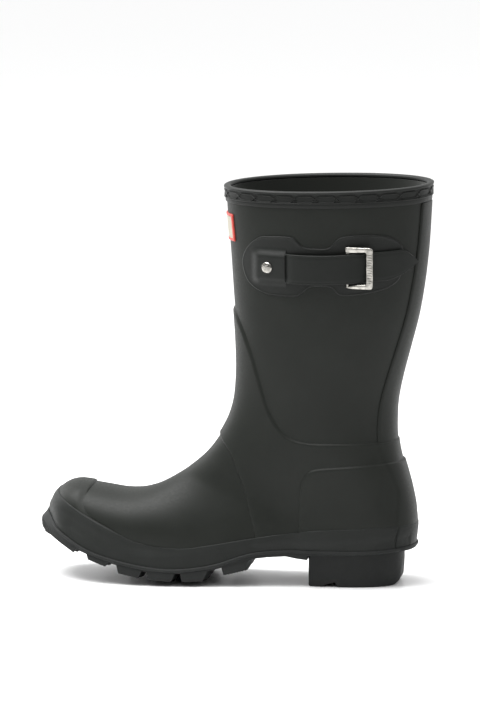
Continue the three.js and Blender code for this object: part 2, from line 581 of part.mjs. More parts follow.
const LOOP_HALF = 7;
const LOOP_REACH = 3.4; // half of the loop's length along the strap
const LOOP_OUT = 5.6;
const loopArea = rectangle(PIN_Y - LOOP_REACH, PIN_Y + LOOP_REACH, PIN_Z - LOOP_HALF, PIN_Z + LOOP_HALF);
solids.buckle_loop = shell(OVERLAY_OUT + GAP, LOOP_OUT).intersect(loopArea)
  .subtract(rod(pinAt, PIN_RADIUS + GAP, -20, 20, pinFrame.up, 12));
solids.buckle_pin = rod(pinAt, PIN_RADIUS, 0.4 - BUCKLE_HALF, BUCKLE_HALF - 0.4, pinFrame.up, 12);

function buckleFrame() {
  const h = BUCKLE_HALF;
  const inner = h - BUCKLE_ARM;
  const points = [
    [-ARM_END, -h], [BUCKLE_REACH - 3, -h], [BUCKLE_REACH - 0.9, -h + 0.9], [BUCKLE_REACH, -h + 3],
    [BUCKLE_REACH, h - 3], [BUCKLE_REACH - 0.9, h - 0.9], [BUCKLE_REACH - 3, h], [-ARM_END, h], [-ARM_END, inner],
    [BUCKLE_REACH - 5.4, inner], [BUCKLE_REACH - 5.4, -inner], [-ARM_END, -inner],
  ];
  const shape = new THREE.Shape(points.map(([a, b]) => new THREE.Vector2(a, b)));
  const geometry = new THREE.ExtrudeGeometry(shape, { depth: BUCKLE_THICK, bevelEnabled: false });
  geometry.translate(0, 0, -BUCKLE_THICK / 2);
  geometry.rotateY(-BUCKLE_TILT);
  const turn = new THREE.Matrix4().makeBasis(pinFrame.back, pinFrame.up, pinFrame.out).setPosition(pinAt);
  return solidOf(geometry.applyMatrix4(turn));
}
solids.buckle_frame = buckleFrame().subtract(rod(pinAt, PIN_RADIUS + GAP, -20, 20, pinFrame.up, 12));

// ---------------------------------------------------------------- materials and the assembly
const RUBBER_LOOK = { color: 0x2d2f2d, roughness: 0.55, metalness: 0 };
const TREAD_LOOK = { color: 0x262726, roughness: 0.7, metalness: 0 };
const CLOTH_LOOK = { color: 0x1d1e1d, roughness: 0.95, metalness: 0 };
const BOARD_LOOK = { color: 0x8a7a60, roughness: 0.9, metalness: 0 };
const METAL_LOOK = { color: 0xc9c6bf, roughness: 0.25, metalness: 1 };
const RED_LOOK = { color: 0xc8392f, roughness: 0.5, metalness: 0 };
const CREAM_LOOK = { color: 0xe6e0d0, roughness: 0.6, metalness: 0 };
const LOOKS = {
  lining: CLOTH_LOOK,
  footbed: CLOTH_LOOK,
  insole_board: BOARD_LOOK,
  shank: METAL_LOOK,
  outsole: TREAD_LOOK,
  heel_block: TREAD_LOOK,
  rivet: METAL_LOOK,
  rivet_washer: METAL_LOOK,
  buckle_frame: METAL_LOOK,
  buckle_pin: METAL_LOOK,
  label_border: RED_LOOK,
  label_panel: CREAM_LOOK,
};

// The rim isn't level: it rises towards the back and the inner side
const RISE_FROM_Z = 268;
const RIM_RISE = 1.1;
const RIM_BACKWARD = 2.1;
const RIM_INWARD = 1.0;
const RIM_MIDDLE_Y = 70;
const RIM_HALF = [47, 78]; // across and along the boot

function tiltRim(points) {
  for (let i = 0; i < points.length; i += 3) {
    const across = points[i] / RIM_HALF[0];
    const along = (points[i + 1] - RIM_MIDDLE_Y) / RIM_HALF[1];
    const rise = RIM_RISE + RIM_BACKWARD * along - RIM_INWARD * across;
    points[i + 2] += rise * THREE.MathUtils.smoothstep(points[i + 2], RISE_FROM_Z, RIM_Z);
  }
}

function meshOf(name, solid) {
  const { vertProperties, triVerts } = solid.getMesh();
  tiltRim(vertProperties);
  const geometry = new THREE.BufferGeometry();
  geometry.setAttribute("position", new THREE.BufferAttribute(vertProperties, 3));
  geometry.setIndex(new THREE.BufferAttribute(triVerts, 1));
  geometry.computeVertexNormals();
  const mesh = new THREE.Mesh(geometry, new THREE.MeshStandardMaterial(LOOKS[name] ?? RUBBER_LOOK));
  mesh.name = name;
  return mesh;
}

const boot = new THREE.Group();
for (const [name, solid] of Object.entries(solids)) boot.add(meshOf(name, solid));

export default boot;
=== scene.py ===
# A short rubber rain boot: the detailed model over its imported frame.
# Lengths in this script are millimetres, in the frame's own axes (+Z up, toe to -Y, buckle side +X), and
# become metres where a mesh is made.
import math

import bmesh
import bpy
import numpy as np
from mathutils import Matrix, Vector, noise


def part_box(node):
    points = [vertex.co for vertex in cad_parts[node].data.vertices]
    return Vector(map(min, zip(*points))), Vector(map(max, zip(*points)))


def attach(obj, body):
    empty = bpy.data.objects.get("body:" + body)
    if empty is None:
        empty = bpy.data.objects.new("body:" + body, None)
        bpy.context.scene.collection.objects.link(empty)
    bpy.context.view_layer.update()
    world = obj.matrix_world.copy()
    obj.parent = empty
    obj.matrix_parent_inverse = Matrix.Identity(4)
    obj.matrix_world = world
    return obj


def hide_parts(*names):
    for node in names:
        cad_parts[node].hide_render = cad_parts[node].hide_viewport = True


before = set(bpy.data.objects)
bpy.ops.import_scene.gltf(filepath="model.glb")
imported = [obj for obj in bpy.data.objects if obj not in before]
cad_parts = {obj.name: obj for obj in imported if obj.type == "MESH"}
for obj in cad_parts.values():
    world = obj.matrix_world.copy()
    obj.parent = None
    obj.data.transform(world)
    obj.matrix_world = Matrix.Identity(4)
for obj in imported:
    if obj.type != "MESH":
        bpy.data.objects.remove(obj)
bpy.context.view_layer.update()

MM = 0.001
BOOT = "boot"
BUCKLE = "buckle"


# ---------------------------------------------------------------- driving dimensions
def node_box(name):
    low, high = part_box(name)
    return [value / MM for value in low], [value / MM for value in high]


# Heights round the rim, as they are before the rim is tilted
RIM_Z = 303
SHELL_TOP_Z = 300.4
COLLAR_LOW_Z = 293.6
UNDER_BAND_LOW_Z = 290.4

# The rim isn't level: it rises towards the back and the inner side
RISE_FROM_Z = 268
RIM_RISE = 1.1
RIM_BACKWARD = 2.1
RIM_INWARD = 1.0
RIM_MIDDLE_Y = 70
RIM_HALF_WIDTH, RIM_HALF_LENGTH = 47, 78

# Offsets of each layer's faces from the boot's skin, which is the outer face of the base rubber
LINING_IN, LINING_OUT = -3.4, -2.35
RUBBER_IN = -2.1
OVERLAY_OUT = 1.5
COUNTER_OUT = 3.0
FOXING = 1.5
COVER_OUT = 4.3

# Density of the skin's grid
AROUND = 216
PER_SECTION = 8

# The skin's sections: front [y, z], back [y, z], half-width, sideways middle, where it is widest, and
# the roundness of its front and back parts (2 for an ellipse)
SECTIONS = [
    (-8.2, 303, 147.4, 303, 47.4, 0, 0.5, 2.1, 2.1),
    (-6.7, 279, 146.0, 279, 46.9, 0, 0.5, 2.1, 2.1),
    (-4.7, 256, 144.5, 256, 46.2, 0, 0.5, 2.1, 2.1),
    (-3.0, 231, 141.7, 231, 45.2, 0, 0.5, 2.1, 2.1),
    (-1.3, 206, 137.5, 206, 44.0, 0, 0.5, 2.1, 2.1),
    (0.2, 182, 131.5, 182, 42.3, 0, 0.5, 2.1, 2.1),
    (0.6, 160, 125.8, 160, 40.3, 0, 0.51, 2.1, 2.1),
    (-0.8, 141, 122.0, 141, 38.5, 0, 0.53, 2.1, 2.1),
    (-3.9, 128, 121.0, 124, 37.3, 0.1, 0.56, 2.15, 2.1),
    (-8.2, 118.3, 121.5, 110, 36.6, 0.2, 0.6, 2.2, 2.1),
    (-12.6, 110.6, 123.8, 97, 36.0, 0.3, 0.63, 2.3, 2.15),
    (-17.6, 103.2, 127.6, 84, 35.2, 0.4, 0.66, 2.45, 2.2),
    (-22.7, 97.2, 131.2, 70, 34.2, 0.5, 0.68, 2.6, 2.25),
    (-28.2, 91.8, 133.7, 55, 33.2, 0.6, 0.7, 2.8, 2.35),
    (-33.8, 87.2, 132.6, 40.5, 32.6, 0.8, 0.71, 2.9, 2.7),
    (-39.4, 82.9, 118, 30.5, 32.5, 1.0, 0.72, 2.9, 3.4),
    (-45.5, 79.0, 86, 29.2, 32.8, 1.6, 0.73, 2.8, 4.2),
    (-52.6, 75.0, 46, 29.2, 33.6, 2.6, 0.72, 2.6, 4.5),
    (-60.7, 71.2, 9, 25.2, 36.5, 3.0, 0.7, 2.4, 4.5),
    (-72, 67.9, -28, 17.2, 42.0, 1.6, 0.68, 2.3, 4.5),
    (-85.5, 66.7, -63, 14.8, 44.2, -1.4, 0.68, 2.3, 4.2),
    (-99.8, 68.2, -90, 19.0, 42.4, -3.8, 0.66, 2.3, 3.8),
    (-111, 69.6, -108, 25.5, 39.0, -5.4, 0.62, 2.3, 3.2),
    (-120.5, 70.4, -121, 31.8, 34.8, -6.8, 0.58, 2.3, 2.6),
]
ROWS = np.array(SECTIONS, float)
LAST = len(SECTIONS) - 1
NOSE_LENGTH = 20.5
NOSE_POWER = 2.2
NOSE_MID = -12

# Outlines seen from the side, as (y, z)
FOXING_TOP = [
    (-150, 74), (-139.7, 66), (-119.6, 54.6), (-95, 43.2), (-71, 32.6), (-40, 28.8), (-18, 31), (15, 36.6),
    (58, 43), (105, 46), (140, 47.6),
]
SOLE_TOP = [
    (-152, 50), (-141.8, 43), (-112.6, 26.6), (-89, 19.4), (-60, 14.4), (-39, 13.6), (-13, 17), (15, 25.6),
    (42, 28.6), (77, 28.4), (105, 28.8), (140, 31.5),
]
VAMP_SEAM = [(-14, 112), (-2, 98.6), (4.9, 82.5), (10.3, 68.2), (14.2, 54.6), (17.9, 39.7), (21, 10)]
OVERLAY_EDGE = [
    (-12, 214), (-2, 210.5), (4.8, 200), (9.7, 190.3), (16.3, 173.7), (22.6, 153.3), (27.6, 137.3),
    (34.8, 123.7), (44.3, 114.6), (58.3, 111), (77.1, 110.8), (110.4, 110.9), (130, 112),
]
COUNTER_EDGE = [
    (52.4, 20), (51, 50), (51.2, 64), (52.3, 76), (54.8, 83.8), (61.6, 90.4), (76, 92.6), (99, 94),
    (116, 94.5), (140, 95),
]
TOE_CAP_EDGE = [(-106, 80), (-109, 71.5), (-114.4, 61), (-110, 51.7), (-98, 43.6), (-92, 39.5), (-86, 30)]
PATCH_EDGE = [
    (7.9, 245.9), (12, 258), (21.5, 266.4), (30, 268), (47.5, 268), (56, 261.2), (66, 260.2),
    (75.5, 261), (85, 269), (104, 270.6), (117, 269.4), (125, 265.6), (129, 259.8), (128.6, 244),
    (125, 234), (112, 227.4), (86, 224.2), (77, 230.4), (69, 231), (61, 230.2), (52, 223.6),
    (39, 222.8), (25, 224.4), (12.8, 232),
]
FAR = 220  # beyond the boot in any direction


# ---------------------------------------------------------------- the skin
def catmull(a, b, c, d, t):
    curve = 2 * a - 5 * b + 4 * c - d
    twist = 3 * (b - c) + d - a
    return 0.5 * (2 * b + (c - a) * t + curve * t * t + twist * t ** 3)


def section_rows(u):
    """The section at each place u: 0 is the rim, LAST the last listed one, LAST + 1 the tip of the toe."""
    i = np.clip(np.floor(u).astype(int), 0, LAST - 1)
    t = np.clip(u - i, 0, 1)[:, None]
    before, after = ROWS[np.maximum(i - 1, 0)], ROWS[np.minimum(i + 2, LAST)]
    rows = catmull(before, ROWS[i], ROWS[i + 1], after, t)
    turn = np.clip(u - LAST, 0, 1) * math.pi / 2
    size = np.maximum(np.cos(turn), 0) ** (2 / NOSE_POWER)
    along = np.maximum(np.sin(turn), 0) ** (2 / NOSE_POWER)
    nose = np.repeat(ROWS[LAST][None], len(u), 0)
    middle_y = (nose[:, 0] + nose[:, 2]) / 2 - NOSE_LENGTH * along
    middle_z = (nose[:, 1] + nose[:, 3]) / 2 - along
    half_y = (nose[:, 0] - nose[:, 2]) / 2 * size
    half_z = (nose[:, 1] - nose[:, 3]) / 2 * size
    nose[:, 0], nose[:, 1] = middle_y + half_y, middle_z + half_z
    nose[:, 2], nose[:, 3] = middle_y - half_y, middle_z - half_z
    nose[:, 4] *= size
    nose[:, 5] += (NOSE_MID - nose[:, 5]) * along
    nose[:, 6] += (0.5 - nose[:, 6]) * along
    nose[:, 8] += (NOSE_POWER - nose[:, 8]) * along
    return np.where((u > LAST)[:, None], nose, rows)


def skin(u, turn):
    """Points of the skin: turn 0 is the front or top, 90 degrees the outer side, 180 the back or bottom."""
    rows = section_rows(u)
    c, s = np.cos(turn), np.sin(turn)
    front = c >= 0
    power = np.where(front, rows[:, 7], rows[:, 8])
    widest = rows[:, 6]
    reach = np.abs(c) ** (2 / power)
    along = np.where(front, widest * (1 - reach), widest + (1 - widest) * reach)
    side = np.sign(s) * np.abs(s) ** (2 / power)
    x = rows[:, 5] + rows[:, 4] * side
    y = rows[:, 0] + (rows[:, 2] - rows[:, 0]) * along
    z = rows[:, 1] + (rows[:, 3] - rows[:, 1]) * along
    return np.stack([x, y, z], 1)


def unit(v):
    return v / np.maximum(np.linalg.norm(v, axis=-1, keepdims=True), 1e-9)


def skin_normal(u, turn):
    step = 0.02
    high = np.minimum(u + step, LAST + 0.985)
    low = np.maximum(high - 2 * step, 0)
    down = skin(high, turn) - skin(low, turn)
    round_ = skin(u.clip(0, LAST + 0.985), turn + step) - skin(u.clip(0, LAST + 0.985), turn - step)
    normal = unit(np.cross(down, round_))
    normal[u >= LAST + 0.999] = (0, -1, 0)
    return normal


def smoothstep(low, high, value):
    t = np.clip((value - low) / (high - low), 0, 1)
    return t * t * (3 - 2 * t)


# ---------------------------------------------------------------- outlines and distances
def smooth(points, steps=8):
    """An open curve through the points."""
    p = np.array(points, float)
    p = np.vstack([2 * p[0] - p[1], p, 2 * p[-1] - p[-2]])
    out = []
    for i in range(1, len(p) - 2):
        for k in range(steps):
            out.append(catmull(p[i - 1], p[i], p[i + 1], p[i + 2], k / steps))
    out.append(p[-2])
    return np.array(out)


def smooth_loop(points, steps=8):
    """A closed curve through the points."""
    p = np.array(points, float)
    n = len(p)
    out = []
    for i in range(n):
        for k in range(steps):
            out.append(catmull(p[i - 1], p[i], p[(i + 1) % n], p[(i + 2) % n], k / steps))
    return np.array(out)


def inside_distance(loop, points):
    """Distance of 2-D points to a closed outline, above 0 inside it."""
    a = np.asarray(loop, float)
    b = np.roll(a, -1, 0)
    best = np.full(len(points), 1e9)
    odd = np.zeros(len(points), bool)
    for (ax, ay), (bx, by) in zip(a, b):
        dx, dy = bx - ax, by - ay
        length = dx * dx + dy * dy
        if length < 1e-12:
            continue
        t = np.clip(((points[:, 0] - ax) * dx + (points[:, 1] - ay) * dy) / length, 0, 1)
        gap = np.hypot(points[:, 0] - ax - t * dx, points[:, 1] - ay - t * dy)
        best = np.minimum(best, gap)
        if ay != by:
            crossing = (ay > points[:, 1]) != (by > points[:, 1])
            odd ^= crossing & (points[:, 0] < ax + (points[:, 1] - ay) / dy * dx)
    return np.where(odd, best, -best)


def from_side(loop):
    return lambda p: inside_distance(loop, p[:, 1:3])


def line_z(line, y):
    return np.interp(y, line[:, 0], line[:, 1])


foxing_top = smooth(FOXING_TOP)
sole_top = smooth(SOLE_TOP)
over_sole = np.vstack([[(-FAR, 50)], sole_top, [(FAR, 31.5), (FAR, 500), (-FAR, 500)]])
overlay_loop = np.vstack([
    smooth(VAMP_SEAM), [(FAR, 10), (FAR, 112)], smooth(OVERLAY_EDGE)[::-1], [(-60, 215), (-60, 112)],
])
counter_loop = np.vstack([smooth(COUNTER_EDGE), [(FAR, 95), (FAR, 0), (52.4, 0)]])
cap_loop = np.vstack([smooth(TOE_CAP_EDGE), [(-86, 0), (-FAR, 0), (-FAR, 80)]])
foxing_loop = np.vstack([
    [(-FAR, 74)], foxing_top, [(FAR, 47.6), (FAR, 31)], (sole_top - (0, 0.5))[::-1], [(-FAR, 49.5)],
])
SPLIT = [(-60, 122), (-6, 118), (30, 92), (60, 76), (FAR, 76), (FAR, 600), (-60, 600)]


# ---------------------------------------------------------------- sheets cut from the skin's grid
def ring_places(first=0.0, last=LAST + 1.0, per_section=PER_SECTION):
    places = [p for p in np.arange(0, LAST, 1 / per_section) if first <= p <= last]
    places += [LAST + 1 - (1 - k / 22) ** 1.35 for k in range(22) if last > LAST]
    return np.array([first, *[p for p in places if first < p < last], last])


class Sheet:
    """A part of the skin, as a grid of places (u, turn) with faces, which outlines can be cut into."""

    def __init__(self, places, turns):
        count = len(turns)
        self.u = np.repeat(places, count)
        self.t = np.tile(turns, len(places))
        self.faces = [
            (i * count + j, i * count + j + 1, (i + 1) * count + j + 1, (i + 1) * count + j)
            for i in range(len(places) - 1) for j in range(count - 1)
        ]

    def points(self):
        base = skin(self.u, self.t)
        base[self.u == 0, 2] = RIM_Z
        return base

    def keep(self, field, level, above=True):
        """Keeps the faces whose every corner is on the right side of the level."""
        value = field(self.points()) - level
        good = value > -1e-3 if above else value < 1e-3
        self.faces = [f for f in self.faces if all(good[k] for k in f)]

    def near(self, field, margin=4):
        """Drops the faces that lie wholly outside an area."""
        good = field(self.points()) > -margin
        self.faces = [f for f in self.faces if any(good[k] for k in f)]

    def cut(self, field, level):
        """Adds corners where edges cross the level, and splits the faces there."""
        value = field(self.points()) - level
        value[np.abs(value) < 2e-3] = 0
        side = np.sign(value).astype(int)
        new_u, new_t, made, faces = [], [], {}, []
        for face in self.faces:
            signs = [side[k] for k in face]
            if 1 not in signs or -1 not in signs:
                faces.append(face)
                continue
            loop, marks = [], []
            for k, a in enumerate(face):
                b = face[(k + 1) % len(face)]
                loop.append(a)
                if side[a] == 0:
                    marks.append(len(loop) - 1)
                if side[a] * side[b] < 0:
                    key = (a, b) if a < b else (b, a)
                    if key not in made:
                        share = value[key[0]] / (value[key[0]] - value[key[1]])
                        made[key] = len(self.u) + len(new_u)
                        new_u.append(self.u[key[0]] + (self.u[key[1]] - self.u[key[0]]) * share)
                        new_t.append(self.t[key[0]] + (self.t[key[1]] - self.t[key[0]]) * share)
                    loop.append(made[key])
                    marks.append(len(loop) - 1)
            if len(marks) == 2 and marks[1] - marks[0] > 1 and len(loop) - (marks[1] - marks[0]) > 1:
                first, second = marks
                faces.append(tuple(loop[first:second + 1]))
                faces.append(tuple(loop[second:] + loop[:first + 1]))
            else:
                faces.append(tuple(loop))
        self.u = np.append(self.u, new_u)
        self.t = np.append(self.t, new_t)
        self.faces = [f for f in faces if len(f) > 2]

    def area(self, field, radius, above=True):
        """Cuts out an area, with rows of corners along its edge for a round of the given radius."""
        sign = 1 if above else -1
        for share in (0, 0.07, 0.28, 0.6, 1):
            self.cut(field, sign * share * radius)
        self.keep(field, 0, above)

    def solid(self, name, outer, inner, sharp=40, settle=None):
        """A closed mesh between two heights over the skin, each a function of the point or a number.
        settle moves the outer face's points, given them, the skin's normals, and which are on an edge."""
        base, normal = self.points(), skin_normal(self.u, self.t)
        high = outer(base) if callable(outer) else np.full(len(base), outer)
        low = inner(base) if callable(inner) else np.full(len(base), inner)
        top = base + normal * high[:, None]
        under = base + normal * low[:, None]
        for rows in (top, under):
            rows[self.u == 0, 2] = base[self.u == 0, 2]
        faces = welded(self.faces, base)
        if settle:
            edges = open_edges_of(faces)
            at_edge = np.zeros(len(top), bool)
            at_edge[[k for edge in edges for k in edge]] = True
            top = settle(top, normal, at_edge)
        return closed_pair(name, top, under, faces, sharp)


WELD = 1e-4
OFF_CELL = 0.3719  # keeps round numbers away from the edges of the cells


def welded(faces, points):
    """The faces with one corner for all that lie at the same place, as where a whole turn closes."""
    cells = np.floor(points / WELD + OFF_CELL)
    _, first, same = np.unique(cells, axis=0, return_index=True, return_inverse=True)
    keeper = first[same.ravel()]
    out = []
    for face in faces:
        loop = [int(keeper[k]) for k in face]
        loop = [k for i, k in enumerate(loop) if k != loop[i - 1]]
        if len(loop) > 2:
            out.append(tuple(loop))
    return out


def open_edges_of(faces):
    """The edges that only one face uses."""
    edges = {}
    for f in faces:
        for k, a in enumerate(f):
            b = f[(k + 1) % len(f)]
            if (b, a) in edges:
                del edges[(b, a)]
            else:
                edges[(a, b)] = True
    return list(edges)


def closed_pair(name, top, under, faces, sharp=40):
    """A closed mesh from one set of faces at two sets of points, joined round its open edges."""
    count = len(top)
    both = [tuple(f) for f in faces] + [tuple(k + count for k in reversed(f)) for f in faces]
    both += [(b, a, a + count, b + count) for a, b in open_edges_of(faces)]
    return mesh_object(name, np.vstack([top, under]), both, sharp)


def tilt_rim(points):
    """The points as the tilt of the rim moves them."""
    across, along = points[:, 0] / RIM_HALF_WIDTH, (points[:, 1] - RIM_MIDDLE_Y) / RIM_HALF_LENGTH
    rise = RIM_RISE + RIM_BACKWARD * along - RIM_INWARD * across
    moved = points.copy()
    moved[:, 2] += rise * smoothstep(RISE_FROM_Z, RIM_Z, points[:, 2])
    return moved


def mesh_object(name, points, faces, sharp=40, merge=1e-3):
    """A mesh object from points in millimetres, merged where they meet, facing out and shaded smooth."""
    points = tilt_rim(np.asarray(points, float))
    mesh = bpy.data.meshes.new(name)
    mesh.from_pydata([tuple(p) for p in points * MM], [], [tuple(f) for f in faces])
    work = bmesh.new()
    work.from_mesh(mesh)
    bmesh.ops.remove_doubles(work, verts=work.verts, dist=merge * MM)
    bmesh.ops.dissolve_degenerate(work, edges=work.edges, dist=merge * MM * 0.5)
    loose = [v for v in work.verts if not v.link_faces]
    bmesh.ops.delete(work, geom=loose, context="VERTS")
    bmesh.ops.recalc_face_normals(work, faces=work.faces)
    work.to_mesh(mesh)
    work.free()
    obj = bpy.data.objects.new(name, mesh)
    bpy.context.scene.collection.objects.link(obj)
    shade(obj, sharp)
    return obj


def shade(obj, sharp=40):
    obj.data.polygons.foreach_set("use_smooth", [True] * len(obj.data.polygons))
    obj.data.set_sharp_from_angle(angle=math.radians(sharp))


MATERIALS = {}  # the material of each slot


def finished(obj, node, slot, body=BOOT):
    """Gives a piece its material and its body, and hides the imported part that it stands for."""
    obj.data.materials.clear()
    obj.data.materials.append(MATERIALS[slot])
    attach(obj, body)
    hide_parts(node)
    return obj


def edge_round(distance, radius, low, high):
    """Height that climbs from low to high in a quarter circle over the given distance."""
    t = np.clip(1 - distance / radius, 0, 1)
    return low + (high - low) * np.sqrt(np.maximum(1 - t * t, 0))


def edge_slope(distance, width, low, high):
    """Height that climbs from low to high in a smooth slope over the given distance."""
    return low + (high - low) * smoothstep(0, width, distance)


# ---------------------------------------------------------------- materials
def node_material(name, colour, roughness, metallic=0.0, specular=0.5):
    """Makes the material of a slot, and gives its node tree and its shader."""
    material = bpy.data.materials.new(name)
    MATERIALS[name] = material
    material.use_nodes = True
    shader = material.node_tree.nodes["Principled BSDF"]
    shader.inputs["Base Color"].default_value = (*colour, 1)
    shader.inputs["Roughness"].default_value = roughness
    shader.inputs["Metallic"].default_value = metallic
    shader.inputs["Specular IOR Level"].default_value = specular
    return material.node_tree, shader


def add(tree, kind, **inputs):
    """A node of the given kind with its inputs set: a socket is joined, and anything else is its value."""
    made = tree.nodes.new(kind)
    for key, value in inputs.items():
        socket = made.inputs[key.replace("_", " ")]
        if isinstance(value, bpy.types.NodeSocket):
            tree.links.new(value, socket)
        else:
            socket.default_value = value
    return made


def object_place(tree):
    return tree.nodes.new("ShaderNodeTexCoord").outputs["Object"]


def noise_of(tree, place, scale, detail=2.0, rough=0.5):
    made = add(tree, "ShaderNodeTexNoise", Vector=place, Scale=scale, Detail=detail, Roughness=rough)
    return made.outputs["Fac"]


def ramp(tree, value, low, high, start=0.0, end=1.0):
    """The value mapped from start..end to low..high."""
    made = tree.nodes.new("ShaderNodeMapRange")
    tree.links.new(value, made.inputs["Value"])
    for key, number in (("From Min", start), ("From Max", end), ("To Min", low), ("To Max", high)):
        made.inputs[key].default_value = number
    return made.outputs["Result"]


def between_colours(tree, share, first, second):
    made = tree.nodes.new("ShaderNodeMix")
    made.data_type = "RGBA"
    tree.links.new(share, made.inputs[0])
    made.inputs[6].default_value = (*first, 1)
    made.inputs[7].default_value = (*second, 1)
    return made.outputs[2]


def maths(tree, operation, first, second):
    """A sum of two values: a socket is joined, and a number is set."""
    made = tree.nodes.new("ShaderNodeMath")
    made.operation = operation
    for socket, value in zip(made.inputs, (first, second)):
        if isinstance(value, bpy.types.NodeSocket):
            tree.links.new(value, socket)
        else:
            socket.default_value = value
    return made.outputs[0]


def bump(tree, height, strength, distance, below=None):
    made = add(tree, "ShaderNodeBump", Strength=strength, Distance=distance, Height=height)
    if below is not None:
        tree.links.new(below, made.inputs["Normal"])
    return made.outputs["Normal"]


def rubber(name, dark, light, rough_low, rough_high, grain=1400.0, grain_height=0.00004, specular=0.17):
    """Moulded rubber: a fine matt grain, slow ripples of the mould, and a faint dusty bloom in patches."""
    tree, shader = node_material(name, dark, rough_low, specular=specular)
    place = object_place(tree)
    bloom = noise_of(tree, place, 22, 4, 0.6)
    specks = noise_of(tree, place, 700, 2, 0.6)
    colour = between_colours(tree, ramp(tree, bloom, 0, 1, 0.35, 0.7), dark, light)
    tree.links.new(colour, shader.inputs["Base Color"])
    worn = maths(tree, "MULTIPLY", maths(tree, "ADD", bloom, 0.5), specks)
    rough = ramp(tree, worn, rough_low, rough_high, 0.2, 0.6)
    tree.links.new(rough, shader.inputs["Roughness"])
    slow = bump(tree, noise_of(tree, place, 38, 2, 0.5), 0.25, 0.0006)
    fine = bump(tree, noise_of(tree, place, grain, 2, 0.6), 0.5, grain_height, slow)
    tree.links.new(fine, shader.inputs["Normal"])


def knit(name, dark, light, pitch):
    """A close textile: rows of loops, with a soft sheen."""
    tree, shader = node_material(name, dark, 0.95, specular=0.15)
    shader.inputs["Sheen Weight"].default_value = 0.25
    place = object_place(tree)
    waves = []
    for axis in ("X", "Z"):
        wave = add(tree, "ShaderNodeTexWave", Vector=place, Scale=0.314 / pitch, Distortion=0.6)
        wave.bands_direction = axis
        waves.append(wave.outputs["Fac"])
    weave = maths(tree, "MULTIPLY", *waves)
    colour = between_colours(tree, weave, dark, light)
    tree.links.new(colour, shader.inputs["Base Color"])
    fluff = bump(tree, noise_of(tree, place, 900, 3, 0.6), 0.4, 0.0002)
    tree.links.new(bump(tree, weave, 0.8, 0.0004, fluff), shader.inputs["Normal"])


def metal(name, colour, rough_low, rough_high, grain, height):
    """Metal with fine polishing marks, small dents, and painted dark reflections in random patches."""
    tree, shader = node_material(name, colour, rough_low, metallic=1.0)
    place = object_place(tree)
    marks = noise_of(tree, place, grain, 3, 0.6)
    tree.links.new(ramp(tree, marks, rough_low, rough_high, 0.3, 0.7), shader.inputs["Roughness"])
    # Painted reflections: the colour darkens to about half in random patches, standing in for dark
    # surroundings mirrored in the metal.
    painted_reflection_patches = ramp(tree, noise_of(tree, place, 240, 3), 0, 1, 0.38, 0.62)
    painted_reflection_colour = between_colours(tree, painted_reflection_patches, colour, tuple(c * 0.55 for c in colour))
    tree.links.new(painted_reflection_colour, shader.inputs["Base Color"])
    tree.links.new(bump(tree, noise_of(tree, place, 260, 2), 0.5, height), shader.inputs["Normal"])


def plain_grained(name, colour, other, rough, scale, height):
    """A solid material with a mottled colour and a fine grain."""
    tree, shader = node_material(name, colour, rough, specular=0.35)
    place = object_place(tree)
    patches = noise_of(tree, place, scale * 0.2, 4, 0.6)
    tree.links.new(between_colours(tree, patches, colour, other), shader.inputs["Base Color"])
    tree.links.new(ramp(tree, patches, rough * 0.9, rough * 1.1, 0.3, 0.7), shader.inputs["Roughness"])
    tree.links.new(bump(tree, noise_of(tree, place, scale, 2), 0.5, height), shader.inputs["Normal"])


rubber("upper_rubber", (0.0104, 0.0118, 0.0099), (0.0135, 0.0151, 0.0129), 0.40, 0.54)
rubber("foxing_rubber", (0.0124, 0.0137, 0.0126), (0.0166, 0.0181, 0.0168), 0.44, 0.6)
rubber("trim_rubber", (0.0082, 0.0093, 0.0082), (0.0112, 0.0124, 0.0111), 0.40, 0.54, specular=0.22)
rubber("strap_rubber", (0.0088, 0.0100, 0.0088), (0.0117, 0.0131, 0.0117), 0.36, 0.5)
rubber("sole_rubber", (0.0145, 0.0156, 0.0150), (0.0200, 0.0212, 0.0206), 0.5, 0.66, 900, 0.00006)
knit("lining_cloth", (0.015, 0.017, 0.014), (0.046, 0.050, 0.043), 1.6)
knit("footbed_cloth", (0.020, 0.020, 0.022), (0.055, 0.055, 0.058), 1.2)
metal("bright_metal", (0.47, 0.455, 0.42), 0.14, 0.26, 900, 0.00008)
metal("shank_steel", (0.50, 0.50, 0.50), 0.3, 0.45, 400, 0.00003)
plain_grained("board", (0.36, 0.27, 0.17), (0.24, 0.17, 0.10), 0.9, 600, 0.0002)
plain_grained("label_red", (0.50, 0.055, 0.04), (0.42, 0.045, 0.035), 0.42, 700, 0.00004)
plain_grained("label_cream", (0.40, 0.37, 0.30), (0.34, 0.315, 0.255), 0.5, 700, 0.00004)


# ---------------------------------------------------------------- the upper
WHOLE_TURN = np.linspace(0, 2 * math.pi, AROUND + 1)
OUTER_TURN = np.linspace(0.12, math.pi - 0.12, 181)


OUTSIDE = -50  # what a field says of points that its area can't reach
STRIP_LOW_Z = 108
STRIP_FROM_Y = 80
STRIP_HALF_Z = [30, 51, 62, 73, 84, 95, 112, 300]
STRIP_HALF_X = [25.4, 24.7, 22.3, 20.7, 22, 23.6, 24.2, 17.5]


def strip_raise(p):
    """How much of the back strip's thickness shows through whatever lies over it."""
    half = np.interp(p[:, 2], STRIP_HALF_Z, STRIP_HALF_X)
    across = 1 - smoothstep(half - 0.8, half + 1.2, np.abs(p[:, 0]))
    return across * smoothstep(STRIP_FROM_Y - 10, STRIP_FROM_Y, p[:, 1])


def overlay_lift(p):
    """Height of the ankle overlay over the skin, with the strip underneath showing softly."""
    return OVERLAY_OUT + 0.7 * strip_raise(p)


